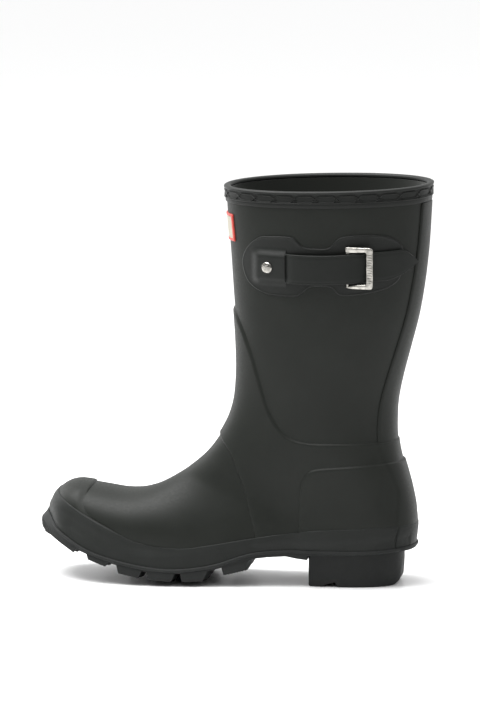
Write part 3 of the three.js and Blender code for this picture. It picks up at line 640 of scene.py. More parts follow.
def base_piece(name, above_split):
    sheet = Sheet(ring_places(0, LAST + 1), WHOLE_TURN)
    field = from_side(SPLIT)
    sheet.cut(field, 0)
    sheet.keep(field, 0, above_split)
    if above_split:
        top = lambda p: SHELL_TOP_Z - p[:, 2]
        sheet.cut(top, 0)
        sheet.keep(top, 0)
    obj = sheet.solid(name, 0.0, RUBBER_IN)
    return finished(obj, name, "upper_rubber")


EDGE_START = 0.06  # height of an overlaid layer's edge, before its round begins
TURN_UNDER = 0.5  # the skin turns under the foot where its normal points down by more than this
TURN_SCALE = 10


def overlaid(name, slot, area, radius, top, bottom, first=0, last=LAST + 1, limits=(), settle=None,
             edge=edge_round):
    """A layer of rubber with a shaped edge. limits are fields that trim it square. A layer that is
    settled on the outsole stops where the skin turns under the foot."""
    sheet = Sheet(ring_places(first, last), WHOLE_TURN)
    sheet.near(area)
    if settle:
        limits = [*limits, lambda p: TURN_SCALE * (skin_normal(sheet.u, sheet.t)[:, 2] + TURN_UNDER)]
    for field in limits:
        sheet.cut(field, 0)
        sheet.keep(field, 0)
    sheet.area(area, radius)
    height = lambda p: edge(area(p), radius, bottom(p) + EDGE_START, top(p))
    obj = sheet.solid(name, height, bottom, settle=settle)
    return finished(obj, name, slot)


zero = lambda p: np.zeros(len(p))
level = lambda value: (lambda p: np.full(len(p), float(value)))
over_sole_field = from_side(over_sole)
overlay_field = from_side(overlay_loop)
counter_field = from_side(counter_loop)
OVERLAY_ROUND = 1.9

base_piece("leg_shell", True)
base_piece("vamp", False)
overlaid("ankle_overlay", "upper_rubber", overlay_field, OVERLAY_ROUND, overlay_lift, zero,
         first=3, limits=[over_sole_field], edge=edge_slope)


def counter_top(p):
    return COUNTER_OUT + 0.6 * strip_raise(p)


def counter_bottom(p):
    return overlay_lift(p) - 0.1


overlaid("heel_counter", "upper_rubber", counter_field, OVERLAY_ROUND, counter_top, counter_bottom,
         first=9, last=18, limits=[over_sole_field], edge=edge_slope)

CAP_ROUND = 1.3  # the crisp part of the cap's edge
CAP_SOFT = 5.5  # the width of its soft swell
CAP_FOOT = 0.05  # height at the bottom of that swell
CAP_CRISP_Z = 70  # above this height the cap's edge is a crisp notch, and below it a soft swell
cap_field = from_side(cap_loop)


def cap_height(p):
    crisp = smoothstep(CAP_CRISP_Z - 6, CAP_CRISP_Z, p[:, 2])
    distance = cap_field(p)
    soft = CAP_FOOT + (OVERLAY_OUT - CAP_FOOT) * smoothstep(-0.8, CAP_SOFT, distance)
    return soft + (edge_round(distance, CAP_ROUND, EDGE_START, OVERLAY_OUT) - soft) * crisp


def toe_cap():
    sheet = Sheet(ring_places(19), WHOLE_TURN)
    sheet.near(cap_field)
    sheet.cut(over_sole_field, 0)
    sheet.keep(over_sole_field, 0)
    sheet.area(cap_field, CAP_ROUND)
    for distance in (2.4, 4, CAP_SOFT):
        sheet.cut(cap_field, distance)
    return finished(sheet.solid("toe_cap", cap_height, 0.0), "toe_cap", "upper_rubber")


toe_cap()


def strip_field(p):
    """Distance inside the strip up the back of the leg."""
    half = np.interp(p[:, 2], STRIP_HALF_Z, STRIP_HALF_X)
    ends = np.minimum(UNDER_BAND_LOW_Z - 0.2 - p[:, 2], p[:, 2] - STRIP_LOW_Z)
    return np.where(p[:, 1] > STRIP_FROM_Y, np.minimum(half - np.abs(p[:, 0]), ends), OUTSIDE)


overlaid("back_strip", "upper_rubber", strip_field, 1.8, level(OVERLAY_OUT - 0.1), zero, last=11)

HEEL_TAB_HALF = 26.2
HEEL_MIDDLE = (0, 60)  # what the heel's outline turns about, as (x, y)
HEEL_LIFT = 4.3  # how far the heel tab's face stands out from the skin
SEAM_HALF = 0.18  # half of the seam between the foxing band and the heel tab
FOXING_STEP = 0.7  # height of the foxing's top edge over what it lies on
FOXING_SWELL = 8  # how far below that edge the foxing has its whole thickness


def foxing_bottom(p):
    """Height of whatever the foxing lies on: the bare vamp, the toe cap, the overlay or the counter."""
    cap = np.where(cap_field(p) > 0, cap_height(p), 0)
    ankle = OVERLAY_OUT * smoothstep(0, 1, overlay_field(p))
    heel = (COUNTER_OUT - OVERLAY_OUT) * smoothstep(0, 1, counter_field(p))
    return np.maximum(cap, ankle + heel) + 0.2 * strip_raise(p)


def foxing_lift(p):
    """Height of the foxing's outer face, in which the edges underneath are smoothed out."""
    cap = OVERLAY_OUT * smoothstep(-6, 3, cap_field(p))
    ankle = OVERLAY_OUT * smoothstep(-2, 3, overlay_field(p))
    heel = (COUNTER_OUT - OVERLAY_OUT) * smoothstep(-2, 3, counter_field(p))
    depth = line_z(foxing_top, p[:, 1]) - p[:, 2]
    thick = FOXING_STEP + (FOXING - FOXING_STEP) * smoothstep(0, FOXING_SWELL, depth)
    return np.maximum(cap, ankle + heel) + 0.2 * strip_raise(p) + thick


def nearest_on(loop, points):
    """The nearest place on a closed outline to each 2-D point."""
    best = np.full(len(points), 1e9)
    place = np.zeros((len(points), 2))
    for a, b in zip(loop, np.roll(loop, -1, 0)):
        along = b - a
        t = np.clip((points - a) @ along / (along @ along), 0, 1)
        spot = a + t[:, None] * along
        gap = np.linalg.norm(points - spot, axis=1)
        closer = gap < best
        best[closer], place[closer] = gap[closer], spot[closer]
    return place


def grown(loop, distance):
    """A closed outline moved outward by a distance, which may differ from point to point."""
    ahead = np.roll(loop, -1, 0) - np.roll(loop, 1, 0)
    away = unit(np.stack([ahead[:, 1], -ahead[:, 0]], 1))
    if np.mean(np.sum((loop - loop.mean(0)) * away, 1)) < 0:
        away = -away
    return loop + away * np.broadcast_to(distance, len(loop))[:, None]


# The outsole's edge seen from above, as (x, y), from the back of the heel round the outer side
SOLE_EDGE = [
    (0, 136.4), (18, 132.4), (29.5, 120), (34.5, 102), (36, 78), (36.4, 52), (38.5, 22), (43, -8),
    (47, -35), (47.6, -62), (43.6, -92), (35.5, -119), (22, -138), (5, -148.6), (-12, -151.2),
    (-28, -147), (-40, -134), (-47.4, -113), (-50.2, -88), (-49, -64), (-44, -38), (-37, -10),
    (-33, 22), (-32.8, 52), (-34, 80), (-33.4, 102), (-28.5, 120), (-17.5, 132.4),
]
sole_edge = smooth_loop(SOLE_EDGE, 10)
BUMPER = 5.0  # how far the outsole stands out in front of the foxing at the toe
PLUMB_HEIGHT = 4.5  # below this height over the sole's top the foxing stands plumb
SETTLE_HEIGHT = 15  # above this one it follows the skin
FOOT_DIP = 1.4  # how far the foxing's foot reaches down behind the welt
FOOT_BAND = 1.0  # open edges this close over the outsole belong to the foxing's foot
NEAR_SEAM = 0.7  # corners this close to the heel tab's seam have their own, tighter limit
EDGE_LEAN, SEAM_LEAN = 0.25, 0.04  # how far an edge's normal may be from TURN_UNDER


def toe_share(y):
    """From 0 along the foot's sides to 1 round the front of the toe."""
    return smoothstep(-130, -149, y)


def heel_share(y):
    """From 0 along the foot's sides to 1 round the heel."""
    return smoothstep(45, 75, y)


foxing_reach = -0.4 - BUMPER * toe_share(sole_edge[:, 1]) + 0.9 * heel_share(sole_edge[:, 1])
foxing_foot = grown(sole_edge, foxing_reach)


def plumb_share(y, z):
    """How far a place is settled: from 0 at SETTLE_HEIGHT over the outsole to 1 at PLUMB_HEIGHT."""
    return 1 - smoothstep(PLUMB_HEIGHT, SETTLE_HEIGHT, z - line_z(sole_top, y))


def settle_foxing(points, normal, at_edge):
    """The foxing's foot stands plumb over the edge of the outsole, and reaches down behind the welt.
    Above its foot the foxing only moves outward."""
    line = line_z(sole_top, points[:, 1])
    outward = smoothstep(-1, 0.5, inside_distance(foxing_foot, points[:, :2]))
    share = plumb_share(points[:, 1], points[:, 2]) * outward
    target = nearest_on(foxing_foot, points[:, :2])
    moved = points.copy()
    moved[:, :2] += (target - points[:, :2]) * share[:, None]
    new_line = line_z(sole_top, moved[:, 1])
    moved[:, 2] += (new_line - line) * share
    by_seam = np.abs(np.abs(moved[:, 0]) - HEEL_TAB_HALF) < NEAR_SEAM
    turned_under = normal[:, 2] < np.where(by_seam, SEAM_LEAN, EDGE_LEAN) - TURN_UNDER
    at_foot = at_edge & (turned_under | (points[:, 2] < line + FOOT_BAND))
    moved[at_foot, :2] = target[at_foot]
    moved[at_foot, 2] = new_line[at_foot] - FOOT_DIP
    return moved


def tab_split(p):
    """Above 0 inside the heel tab, measured on the foxing's outer face as it is once settled."""
    outer = p.copy()
    outer[:, :2] += unit(p[:, :2] - HEEL_MIDDLE) * HEEL_LIFT
    share = plumb_share(p[:, 1], p[:, 2])[:, None]
    outer[:, :2] += (nearest_on(foxing_foot, outer[:, :2]) - outer[:, :2]) * share
    return np.where(p[:, 1] > HEEL_MIDDLE[1], HEEL_TAB_HALF - np.abs(outer[:, 0]), OUTSIDE)


foxing_field = from_side(foxing_loop)
band_area = lambda p: np.minimum(foxing_field(p), -tab_split(p) - SEAM_HALF)
tab_area = lambda p: np.minimum(foxing_field(p), tab_split(p) - SEAM_HALF)
overlaid("foxing_band", "foxing_rubber", band_area, 1.1, foxing_lift, foxing_bottom,
         first=10, settle=settle_foxing)
overlaid("heel_tab", "foxing_rubber", tab_area, 1.1, lambda p: foxing_lift(p) + 0.15, foxing_bottom,
         first=10, last=17, settle=settle_foxing)


# ---------------------------------------------------------------- the collar, its band and the label
def ring_turns(count, drop):
    """Turns spaced evenly by length round a section at the given place."""
    fine = np.linspace(0, 2 * math.pi, 4001)
    points = skin(np.full(len(fine), drop), fine)
    length = np.concatenate([[0], np.cumsum(np.linalg.norm(np.diff(points, axis=0), axis=1))])
    return np.interp(np.linspace(0, length[-1], count + 1), length, fine)


def ring_faces(rings, count, closed=False):
    """The faces between closed rings of count points each, and from the last to the first if closed."""
    faces = []
    for i in range(rings if closed else rings - 1):
        here, after = i * count, (i + 1) % rings * count
        for j in range(count):
            m = (j + 1) % count
            faces.append((here + j, here + m, after + m, after + j))
    return faces


def swept_ring(name, turns, profile, sharp=40):
    """A closed ring round the leg. profile lists the [offset, z] of its section, each for all turns."""
    rings = []
    count = len(turns) - 1
    for offset, z in profile:
        u = np.full(count, (RIM_Z - float(np.mean(z))) / (SECTIONS[0][1] - SECTIONS[1][1])).clip(0, None)
        out = skin(u, turns[:-1]) + skin_normal(u, turns[:-1]) * np.broadcast_to(offset, count)[:, None]
        out[:, 2] = z
        rings.append(out)
    return mesh_object(name, np.vstack(rings), ring_faces(len(rings), count, closed=True), sharp)


LINK_COUNT = 25
LINK_HALF_HEIGHT = 2.25
LINK_FLAT = 0.66  # part of a link's length where its sides run level
RIDGE_HALF = 0.36
RIDGE_HEIGHT = 0.8
BAND_OUT = 0.9
BAND_MIDDLE = 3.6  # the relief's middle over the collar's lower edge
BAND_ROWS = 32
LIP_MIDDLE, LIP_HALF = -0.8, 2.55  # the rounded lip's middle and half-width, across the leg's wall
LIP_ROUND = 0.9
BEAD_MIDDLE, BEAD_OUT, BEAD_HALF = 1.25, 0.62, 0.5
COLLAR_STEPS = 1000


def link_ridges(along, z_from_middle):
    """Height of the collar's relief: a chain of long six-sided links, drawn as thin ridges."""
    place = np.abs((along * LINK_COUNT) % 1.0 - 0.5) * 2
    reach = np.clip((1 - place) / (1 - LINK_FLAT), 0.12, 1)
    ridge = np.abs(np.abs(z_from_middle) - LINK_HALF_HEIGHT * reach)
    return RIDGE_HEIGHT * (1 - smoothstep(RIDGE_HALF * 0.5, RIDGE_HALF * 1.3, ridge))


def collar():
    """The band round the rim: a rounded lip, a recessed band with the relief, and a bead below it."""
    turns = ring_turns(COLLAR_STEPS, 0.25)
    along = np.arange(COLLAR_STEPS) / COLLAR_STEPS
    low = COLLAR_LOW_Z
    middle = low + BAND_MIDDLE
    profile = [(LINING_IN, SHELL_TOP_Z + 0.2), (LINING_IN - 0.05, RIM_Z - 1.0)]
    for k in range(9):
        turn = math.pi * (1 - k / 8)
        offset = LIP_MIDDLE + LIP_HALF * math.cos(turn)
        profile.append((offset, RIM_Z - LIP_ROUND + LIP_ROUND * math.sin(turn)))
    profile += [(1.75, RIM_Z - 1.4), (1.65, RIM_Z - 1.9), (1.1, RIM_Z - 2.3)]
    for z in np.linspace(RIM_Z - 2.9, low + 1.1, BAND_ROWS):
        profile.append((BAND_OUT + link_ridges(along, z - middle), z))
    for k in range(8):
        turn = math.pi / 2 - math.pi * k / 7
        offset = BEAD_MIDDLE + BEAD_OUT * math.cos(turn)
        profile.append((offset, low + BEAD_HALF + BEAD_HALF * math.sin(turn)))
    profile += [(0.3, low), (0.0, low + 0.3), (0.0, SHELL_TOP_Z + 0.1)]
    return swept_ring("collar_binding", turns, profile, 50)


finished(collar(), "collar_binding", "trim_rubber")


def under_band():
    turns = ring_turns(300, 0.4)
    low, high = UNDER_BAND_LOW_Z, COLLAR_LOW_Z
    profile = [
        (0.0, high + 0.2), (0.95, high + 0.2), (1.0, high - 0.4), (1.0, low + 0.5), (0.9, low + 0.2),
        (0.6, low), (0.0, low),
    ]
    return swept_ring("collar_under_band", turns, profile, 60)


finished(under_band(), "collar_under_band", "trim_rubber")


def rounded_box_field(low, high, corner):
    """Distance inside an upright rectangle with round corners, on the front of the boot."""
    half_x, half_z = (high[0] - low[0]) / 2 - corner, (high[1] - low[1]) / 2 - corner

    def field(p):
        dx = np.abs(p[:, 0] - (low[0] + high[0]) / 2) - half_x
        dz = np.abs(p[:, 2] - (low[1] + high[1]) / 2) - half_z
        outside = np.hypot(np.maximum(dx, 0), np.maximum(dz, 0)) + np.minimum(np.maximum(dx, dz), 0)
        return np.where(p[:, 1] < LABEL_BACK_Y, corner - outside, OUTSIDE)
    return field


LABEL_HALF = node_box("label_border")[1][0]
LABEL_LOW_Z, LABEL_HIGH_Z = 260.5, 281.5
LABEL_BACK_Y = 20
LABEL_BORDER = 2.0
BORDER_HIGH = 1.15  # heights over the skin: of the border, and of its outer and inner rims
BORDER_RIM, BORDER_INNER_RIM = 0.4, 0.7
PANEL_RIM, PANEL_HIGH = 0.5, 0.85
PANEL_GAP = 0.02  # gap between the panel and its border
LABEL_TURNS = np.linspace(-0.75, 0.75, 121)
label_places = np.arange(0.7, 2.2, 0.045)


def label():
    """The front label: a plain panel inside a raised border."""
    x, low, high, side = LABEL_HALF, LABEL_LOW_Z, LABEL_HIGH_Z, LABEL_BORDER
    outer = rounded_box_field((-x, low), (x, high), 0.8)
    inner = rounded_box_field((-x + side, low + side), (x - side, high - side), 0.5)
    border = Sheet(label_places, LABEL_TURNS)
    border.area(outer, 0.5)
    border.area(lambda p: -inner(p), 0.35)

    def border_height(p):
        outer_edge = edge_round(outer(p), 0.5, BORDER_RIM, BORDER_HIGH)
        return np.minimum(outer_edge, edge_round(-inner(p), 0.35, BORDER_INNER_RIM, BORDER_HIGH))

    finished(border.solid("label_border", border_height, 0.0), "label_border", "label_red")
    panel = Sheet(label_places, LABEL_TURNS)
    panel_field = lambda p: inner(p) - PANEL_GAP
    panel.area(panel_field, 0.3)
    top = lambda p: edge_round(panel_field(p), 0.3, PANEL_RIM, PANEL_HIGH)
    finished(panel.solid("label_panel", top, 0.0), "label_panel", "label_cream")


label()


# ---------------------------------------------------------------- solids by joining and cutting
def keep_mesh(obj):
    """The object's mesh with its modifiers applied, and the object gone."""
    bpy.context.view_layer.update()
    depsgraph = bpy.context.evaluated_depsgraph_get()
    mesh = bpy.data.meshes.new_from_object(obj.evaluated_get(depsgraph))
    old = obj.data
    bpy.data.objects.remove(obj)
    bpy.data.meshes.remove(old)
    return mesh


def object_of(name, mesh):
    mesh.name = name
    obj = bpy.data.objects.new(name, mesh)
    bpy.context.scene.collection.objects.link(obj)
    return obj


def bevelled(obj, name, width, segments, limit=30):
    """The object with its sharp edges rounded. limit is the least angle of an edge, in degrees."""
    bevel = obj.modifiers.new("round", "BEVEL")
    bevel.width = width * MM
    bevel.segments = segments
    bevel.limit_method = "ANGLE"
    bevel.angle_limit = math.radians(limit)
    return object_of(name, keep_mesh(obj))


def joined(target, cutter, operation):
    change = target.modifiers.new("join", "BOOLEAN")
    change.object = cutter
    change.operation = operation
    change.solver = "MANIFOLD"
    name = target.name
    mesh = keep_mesh(target)
    old = cutter.data
    bpy.data.objects.remove(cutter)
    bpy.data.meshes.remove(old)
    return object_of(name, mesh)


def prism(outline, low, high, axis):
    """A prism along an axis (0, 1 or 2). The outline is in the other two, in their order."""
    count = len(outline)
    others = [k for k in range(3) if k != axis]
    points = np.zeros((2 * count, 3))
    for k in range(2):
        points[k * count:(k + 1) * count, axis] = (low, high)[k]
        points[k * count:(k + 1) * count, others[0]] = np.asarray(outline)[:, 0]
        points[k * count:(k + 1) * count, others[1]] = np.asarray(outline)[:, 1]
    faces = [tuple(range(count)), tuple(range(2 * count - 1, count - 1, -1))]
    faces += [(k, (k + 1) % count, (k + 1) % count + count, k + count) for k in range(count)]
    return mesh_object("prism", points, faces, merge=1e-4)


def remeshed(obj, name, voxel, rounds, factor=0.5):
    """The solid as one even mesh, with its edges softened."""
    remesh = obj.modifiers.new("even", "REMESH")
    remesh.mode = "VOXEL"
    remesh.voxel_size = voxel * MM
    remesh.use_smooth_shade = True
    soften = obj.modifiers.new("soft", "SMOOTH")
    soften.iterations = rounds
    soften.factor = factor
    return object_of(name, keep_mesh(obj))


def vertex_points(obj):
    points = np.empty(len(obj.data.vertices) * 3)
    obj.data.vertices.foreach_get("co", points)
    return points.reshape(-1, 3) / MM


def vertex_normals(obj):
    normals = np.empty(len(obj.data.vertices) * 3)
    obj.data.vertex_normals.foreach_get("vector", normals)
    return normals.reshape(-1, 3)


def move_points(obj, points):
    obj.data.vertices.foreach_set("co", (points * MM).ravel())
    obj.data.update()


def skin_object(offset, around=120, per_section=3):
    """A solid inside the skin moved by offset, for cutting."""
    sheet = Sheet(ring_places(0, LAST + 1, per_section), np.linspace(0, 2 * math.pi, around + 1))
    points = sheet.points() + skin_normal(sheet.u, sheet.t) * offset
    return mesh_object("inside", points, [*sheet.faces, tuple(range(around))], merge=0.02)


# ---------------------------------------------------------------- the sole
PLATE_BOTTOM = [
    (-151.2, 41.5), (-149.6, 36.5), (-146, 34), (-135, 32), (-122, 27), (-115, 24), (-95, 17.4),
    (-75, 13), (-60, 11), (-39, 10.4), (-13, 13.4), (8, 18.8), (15, 21), (28, 22.6), (42, 23.4),
    (50, 21.8), (58.2, 20.8), (58.4, 24.4), (85, 24.7), (105, 25.6), (125, 27), (145, 27.6),
]
LUGS = [
    ((-146, 31.8), (-120.5, 18.4)), ((-109, 14.2), (-94.9, 9.6)), ((-84.8, 5), (-69.4, 2)),
    ((-61.4, 1), (-44.3, 0)), ((-35.8, 0), (-20.5, 0.6)), ((-4.8, 5.2), (10.3, 9)),
]
LUG_SLOPES = 0.25, 0.5  # how far a lug's toe-side and heel-side faces lean, per unit of height
CROWN = 3.4  # how much higher the lugs' bottoms are at the sole's edge than at its middle
LUG_ROOT = 1.5  # how far a lug and a rib reach up into the plate
CHANNEL_HALF = 4  # half of the gap between the outer and inner rows of lugs
TOE_CHANNEL_X, BALL_CHANNEL_X = -6, -1  # that gap's middle under the toe, and behind it
TOE_LUGS_TO_Y = -90
RIB_PITCH = 1.5
RIB_DEPTH = 1.7


def plate_z(y):
    line = np.array(PLATE_BOTTOM)
    return np.interp(y, line[:, 0], line[:, 1])


def outsole():
    heel_end = [(FAR, 27.6), (FAR, 31.5)]
    plate = np.vstack([[(-FAR, 41.5)], PLATE_BOTTOM, heel_end, sole_top[::-1], [(-FAR, 50)]])
    body = prism(plate, -FAR, FAR, 0)
    for toe_end, heel_end in LUGS:
        toe_root, heel_root = plate_z(toe_end[0]) + LUG_ROOT, plate_z(heel_end[0]) + LUG_ROOT
        outline = [
            toe_end, heel_end, (heel_end[0] + LUG_SLOPES[1] * (heel_root - heel_end[1]), heel_root),
            (toe_end[0] - LUG_SLOPES[0] * (toe_root - toe_end[1]), toe_root),
        ]
        middle = TOE_CHANNEL_X if toe_end[0] < TOE_LUGS_TO_Y else BALL_CHANNEL_X
        body = joined(body, prism(outline, middle + CHANNEL_HALF, FAR, 0), "UNION")
        body = joined(body, prism(outline, -FAR, middle - CHANNEL_HALF, 0), "UNION")
    for (_, before), (after, _) in zip(LUGS, LUGS[1:]):
        for y in np.arange(before[0] + 3.5, after[0] - 1.5, RIB_PITCH):
            z = plate_z(y)
            top, bottom = z + LUG_ROOT, z - RIB_DEPTH
            rib = [(y - 0.4, top), (y + 0.4, top), (y + 0.35, bottom), (y - 0.35, bottom)]
            body = joined(body, prism(rib, -FAR, FAR, 0), "UNION")
    body = joined(body, prism(sole_edge, -1, 60, 2), "INTERSECT")
    body = joined(body, skin_object(0.4), "DIFFERENCE")
    return remeshed(body, "outsole", 0.5, 2)


SOLE_HALF_Y, SOLE_HALF_X = [-150, -120, -60, 0, 60, 140], [18, 38, 48, 39, 36, 20]
SOLE_MIDDLE_Y, SOLE_MIDDLE_X = [-150, -100, -50, 0], [-10, -4, -1, 1]
TOE_X, TOE_Y, TOE_RADIUS = -10, -100, 45  # the toe's outline, roughly, as a part of a circle
HEEL_Y = 78
PLATE_LIP = 0.7  # how far the heel's plate stands out at its lower edge
SCALLOP, SCALLOP_PITCH = 1.1, 2.1  # the cross grooves in the lugs' faces
SERRATION, SERRATION_PITCH = 0.3, 2.4  # the upright ribs round the bumper


def worked_outsole():
    """The outsole with its worn-in shapes: a round bumper, a crown across the lugs, and fine serrations."""
    obj = outsole()
    p, n = vertex_points(obj), vertex_normals(obj)
    x, y, z = p.T
    half = np.interp(y, SOLE_HALF_Y, SOLE_HALF_X)
    middle = np.interp(y, SOLE_MIDDLE_Y, SOLE_MIDDLE_X)
    outward = smoothstep(0.45, 1.0, np.abs(x - middle) / half)
    fore = 1 - smoothstep(15, 35, y)
    under = 1 - smoothstep(-4, 0, z - plate_z(y))
    z += CROWN * outward * fore * under
    top_gap = line_z(sole_top, y) - z
    toe = toe_share(y)
    tuck = toe * (1 - smoothstep(0, 8, top_gap)) * (BUMPER - 0.4)
    away = unit(np.stack([x - TOE_X, y - TOE_Y], 1))
    x -= away[:, 0] * tuck
    y -= away[:, 1] * tuck
    outside = unit(np.stack([x, y - HEEL_Y], 1))
    side = smoothstep(0.5, 0.9, np.hypot(n[:, 0], n[:, 1]))
    lip = PLATE_LIP * smoothstep(60, 75, y) * smoothstep(3, 1, z - plate_z(y)) * side
    x += outside[:, 0] * lip
    y += outside[:, 1] * lip
    down = smoothstep(0.6, 0.95, -n[:, 2])
    in_lug = smoothstep(2, 4, plate_z(y) - z)
    z += SCALLOP * down * in_lug * (0.5 + 0.5 * np.cos(2 * math.pi * y / SCALLOP_PITCH))
    ribs = toe * side * smoothstep(4, 7, top_gap)
    around = np.arctan2(x - TOE_X, -(y - TOE_Y)) * TOE_RADIUS
    swell = SERRATION * ribs * np.cos(2 * math.pi * around / SERRATION_PITCH)
    move_points(obj, np.stack([x + n[:, 0] * swell, y + n[:, 1] * swell, z], 1))
    return obj


finished(worked_outsole(), "outsole", "sole_rubber")

HEEL_EDGE = [
    (-30, 58.5), (30.5, 58.5), (32.5, 76), (31.5, 95), (26, 112), (14.5, 124.4), (0, 127.8), (-13.5, 124.8),
    (-24, 113), (-29.6, 97), (-31, 77),
]
HEEL_ROUND = [
    (58.5, 1), (59.5, 0), (69.6, 0), (71, 1.4), (79, 3.8), (80.8, 0), (119, 0), (122.6, 0.7), (124.9, 2.6),
    (126, 5.5),
]
HEEL_TOP_Z = node_box("heel_block")[1][2]
HEEL_BED = 0.6  # how far the heel reaches up into the plate
GROOVES_Y = (90, 99, 108)
GROOVE_HALF_LENGTH, GROOVE_DEPTH = 21, 2.6


def heel_block():
    """The heel: straight across its front, with cross grooves in its tread."""
    back = smooth(HEEL_EDGE[1:] + HEEL_EDGE[:1], 6)
    body = prism(back, 0, HEEL_TOP_Z + 5, 2)
    side = [*HEEL_ROUND, (128.6, plate_z(125) + HEEL_BED), (105, plate_z(105) + HEEL_BED)]
    side.append((58, HEEL_TOP_Z + HEEL_BED))
    body = joined(body, prism(side, -FAR, FAR, 0), "INTERSECT")
    for y in GROOVES_Y:
        groove = [(y - 1.6, -1), (y + 1.6, -1), (y + 0.9, GROOVE_DEPTH), (y - 0.9, GROOVE_DEPTH)]
        body = joined(body, prism(groove, -GROOVE_HALF_LENGTH, GROOVE_HALF_LENGTH, 0), "DIFFERENCE")
    return remeshed(body, "heel_block", 0.6, 2)


finished(heel_block(), "heel_block", "sole_rubber")

WELT_SIDES = 12
WELT_OUT, WELT_UP = 1.1, 1.3  # half-width and half-height of the bead
WELT_DROP = 1.4  # its middle below the sole's top line


def welt():
    """A thin raised bead round the top of the outsole."""
    loop = smooth_loop(SOLE_EDGE, 14)
    toe, heel = toe_share(loop[:, 1]), heel_share(loop[:, 1])
    rings = []
    for k in range(WELT_SIDES):
        turn = 2 * math.pi * k / WELT_SIDES
        xy = grown(loop, 0.1 + WELT_OUT * math.cos(turn) - BUMPER * toe + 0.6 * heel)
        z = line_z(sole_top, xy[:, 1]) - WELT_DROP + WELT_UP * math.sin(turn)
        rings.append(np.column_stack([xy, z]))
    return mesh_object("welt", np.vstack(rings), ring_faces(WELT_SIDES, len(loop), closed=True))


finished(welt(), "welt", "sole_rubber")


# ---------------------------------------------------------------- inside the boot
def lining():
    sheet = Sheet(ring_places(0, LAST + 1, 5), np.linspace(0, 2 * math.pi, 145))
    top = lambda p: SHELL_TOP_Z - p[:, 2]
    sheet.cut(top, 0)
    sheet.keep(top, 0)
    return finished(sheet.solid("lining", LINING_OUT, LINING_IN), "lining", "lining_cloth")


lining()

FLOOR = 5.6  # inner floor of the lining above the outsole's top edge
BOARD = 2
BED_LOW = FLOOR + BOARD + 0.3
BED_THICK = 4.5
BED_RIM, RIM_REACH = 1.3, 9  # how far the footbed's rim turns up, and over what width
# Hollows in the footbed: middle x and y, reach across and along the boot, depth
HEEL_HOLLOW = (0, 98, 17, 24, 1.3)
BALL_HOLLOW = (-2, -62, 24, 30, 0.7)


def hollow(x, y, spot):
    """Depth of a round hollow that fades out with distance."""
    middle_x, middle_y, across, along, depth = spot
    return depth * np.exp(-(((x - middle_x) / across) ** 2 + ((y - middle_y) / along) ** 2))


def footbed():
    """A cushioned footbed: its rim turns up, and it dips under the heel and the ball of the foot."""
    line = np.vstack([[(-FAR, sole_top[0][1])], sole_top, [(FAR, sole_top[-1][1])]])
    outline = np.vstack([line + (0, BED_LOW), (line + (0, BED_LOW + BED_THICK))[::-1]])
    body = joined(skin_object(LINING_IN - 0.4), prism(outline, -FAR, FAR, 0), "INTERSECT")
    bed = remeshed(body, "footbed", 1.3, 4)
    p = vertex_points(bed)
    x, y, z = p.T
    low = line_z(sole_top, y) + BED_LOW
    share = smoothstep(0.5, BED_THICK, z - low)
    edge = inside_distance(grown(sole_edge, -8), p[:, :2])
    rim = 1 - smoothstep(0, RIM_REACH, edge)
    z += share * (BED_RIM * rim - hollow(x, y, HEEL_HOLLOW) - hollow(x, y, BALL_HOLLOW))
    move_points(bed, np.stack([x, y, z], 1))
    return bed


bed = finished(footbed(), "footbed", "footbed_cloth")
for hidden, slot in (("insole_board", "board"), ("shank", "shank_steel")):
    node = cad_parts[hidden]
    node.data.materials.clear()
    node.data.materials.append(MATERIALS[slot])


# ---------------------------------------------------------------- places on the leg's outer side
leg_places = np.linspace(0, 8, 801)
leg_heights = section_rows(leg_places)[:, 1]


def outer_point(y, z):
    """A point of the leg's outer side at a given place along and up the boot."""
    u = np.interp(-z, -leg_heights, leg_places)
    row = section_rows(np.array([u]))[0]
    along = (y - row[0]) / (row[2] - row[0])
    widest = row[6]
    part = 1 - along / widest if along < widest else (along - widest) / (1 - widest)
    power = row[7] if along < widest else row[8]
    return np.array([row[5] + row[4] * (1 - part ** power) ** (1 / power), y, z])


def outer_frame(y, z):
    """The point with the directions back, up and out there."""
    back = unit(outer_point(y + 0.5, z) - outer_point(y - 0.5, z))
    up = unit(outer_point(y, z + 0.5) - outer_point(y, z - 0.5))
    out = unit(np.cross(back, up))
    return outer_point(y, z), back, np.cross(out, back), out


# ---------------------------------------------------------------- the patch and the strap
PATCH = 1.1
PATCH_ROUND = 0.7
PATCH_WALL = 1.25  # thickness of the patch's rubber where it stands clear of the leg
PATCH_BEAD, PATCH_BEAD_IN, PATCH_BEAD_HALF = 0.22, 1.1, 0.5  # the low bead inside its edge
COVER_FROM_Y, COVER_TO_Y = 17, 43.5
COVER_LOW_Z, COVER_HIGH_Z = 230.5, 258.8
COVER_SLOPE = 6.5
SLOT_HALF = 12.2
STRAP_Z = 244.4
patch_field = from_side(smooth_loop(PATCH_EDGE, 7))
cover_end = lambda p: COVER_TO_Y - p[:, 1]


def cover_share(p):
    """How much of the cover's height stands at a point, without its square back end."""
    y, z = p[:, 1], p[:, 2]
    rise = smoothstep(COVER_LOW_Z - 0.5, COVER_LOW_Z + COVER_SLOPE, z)
    fall = 1 - smoothstep(COVER_HIGH_Z - COVER_SLOPE, COVER_HIGH_Z + 0.5, z)
    return rise * fall * smoothstep(COVER_FROM_Y - 2, COVER_FROM_Y + COVER_SLOPE, y)


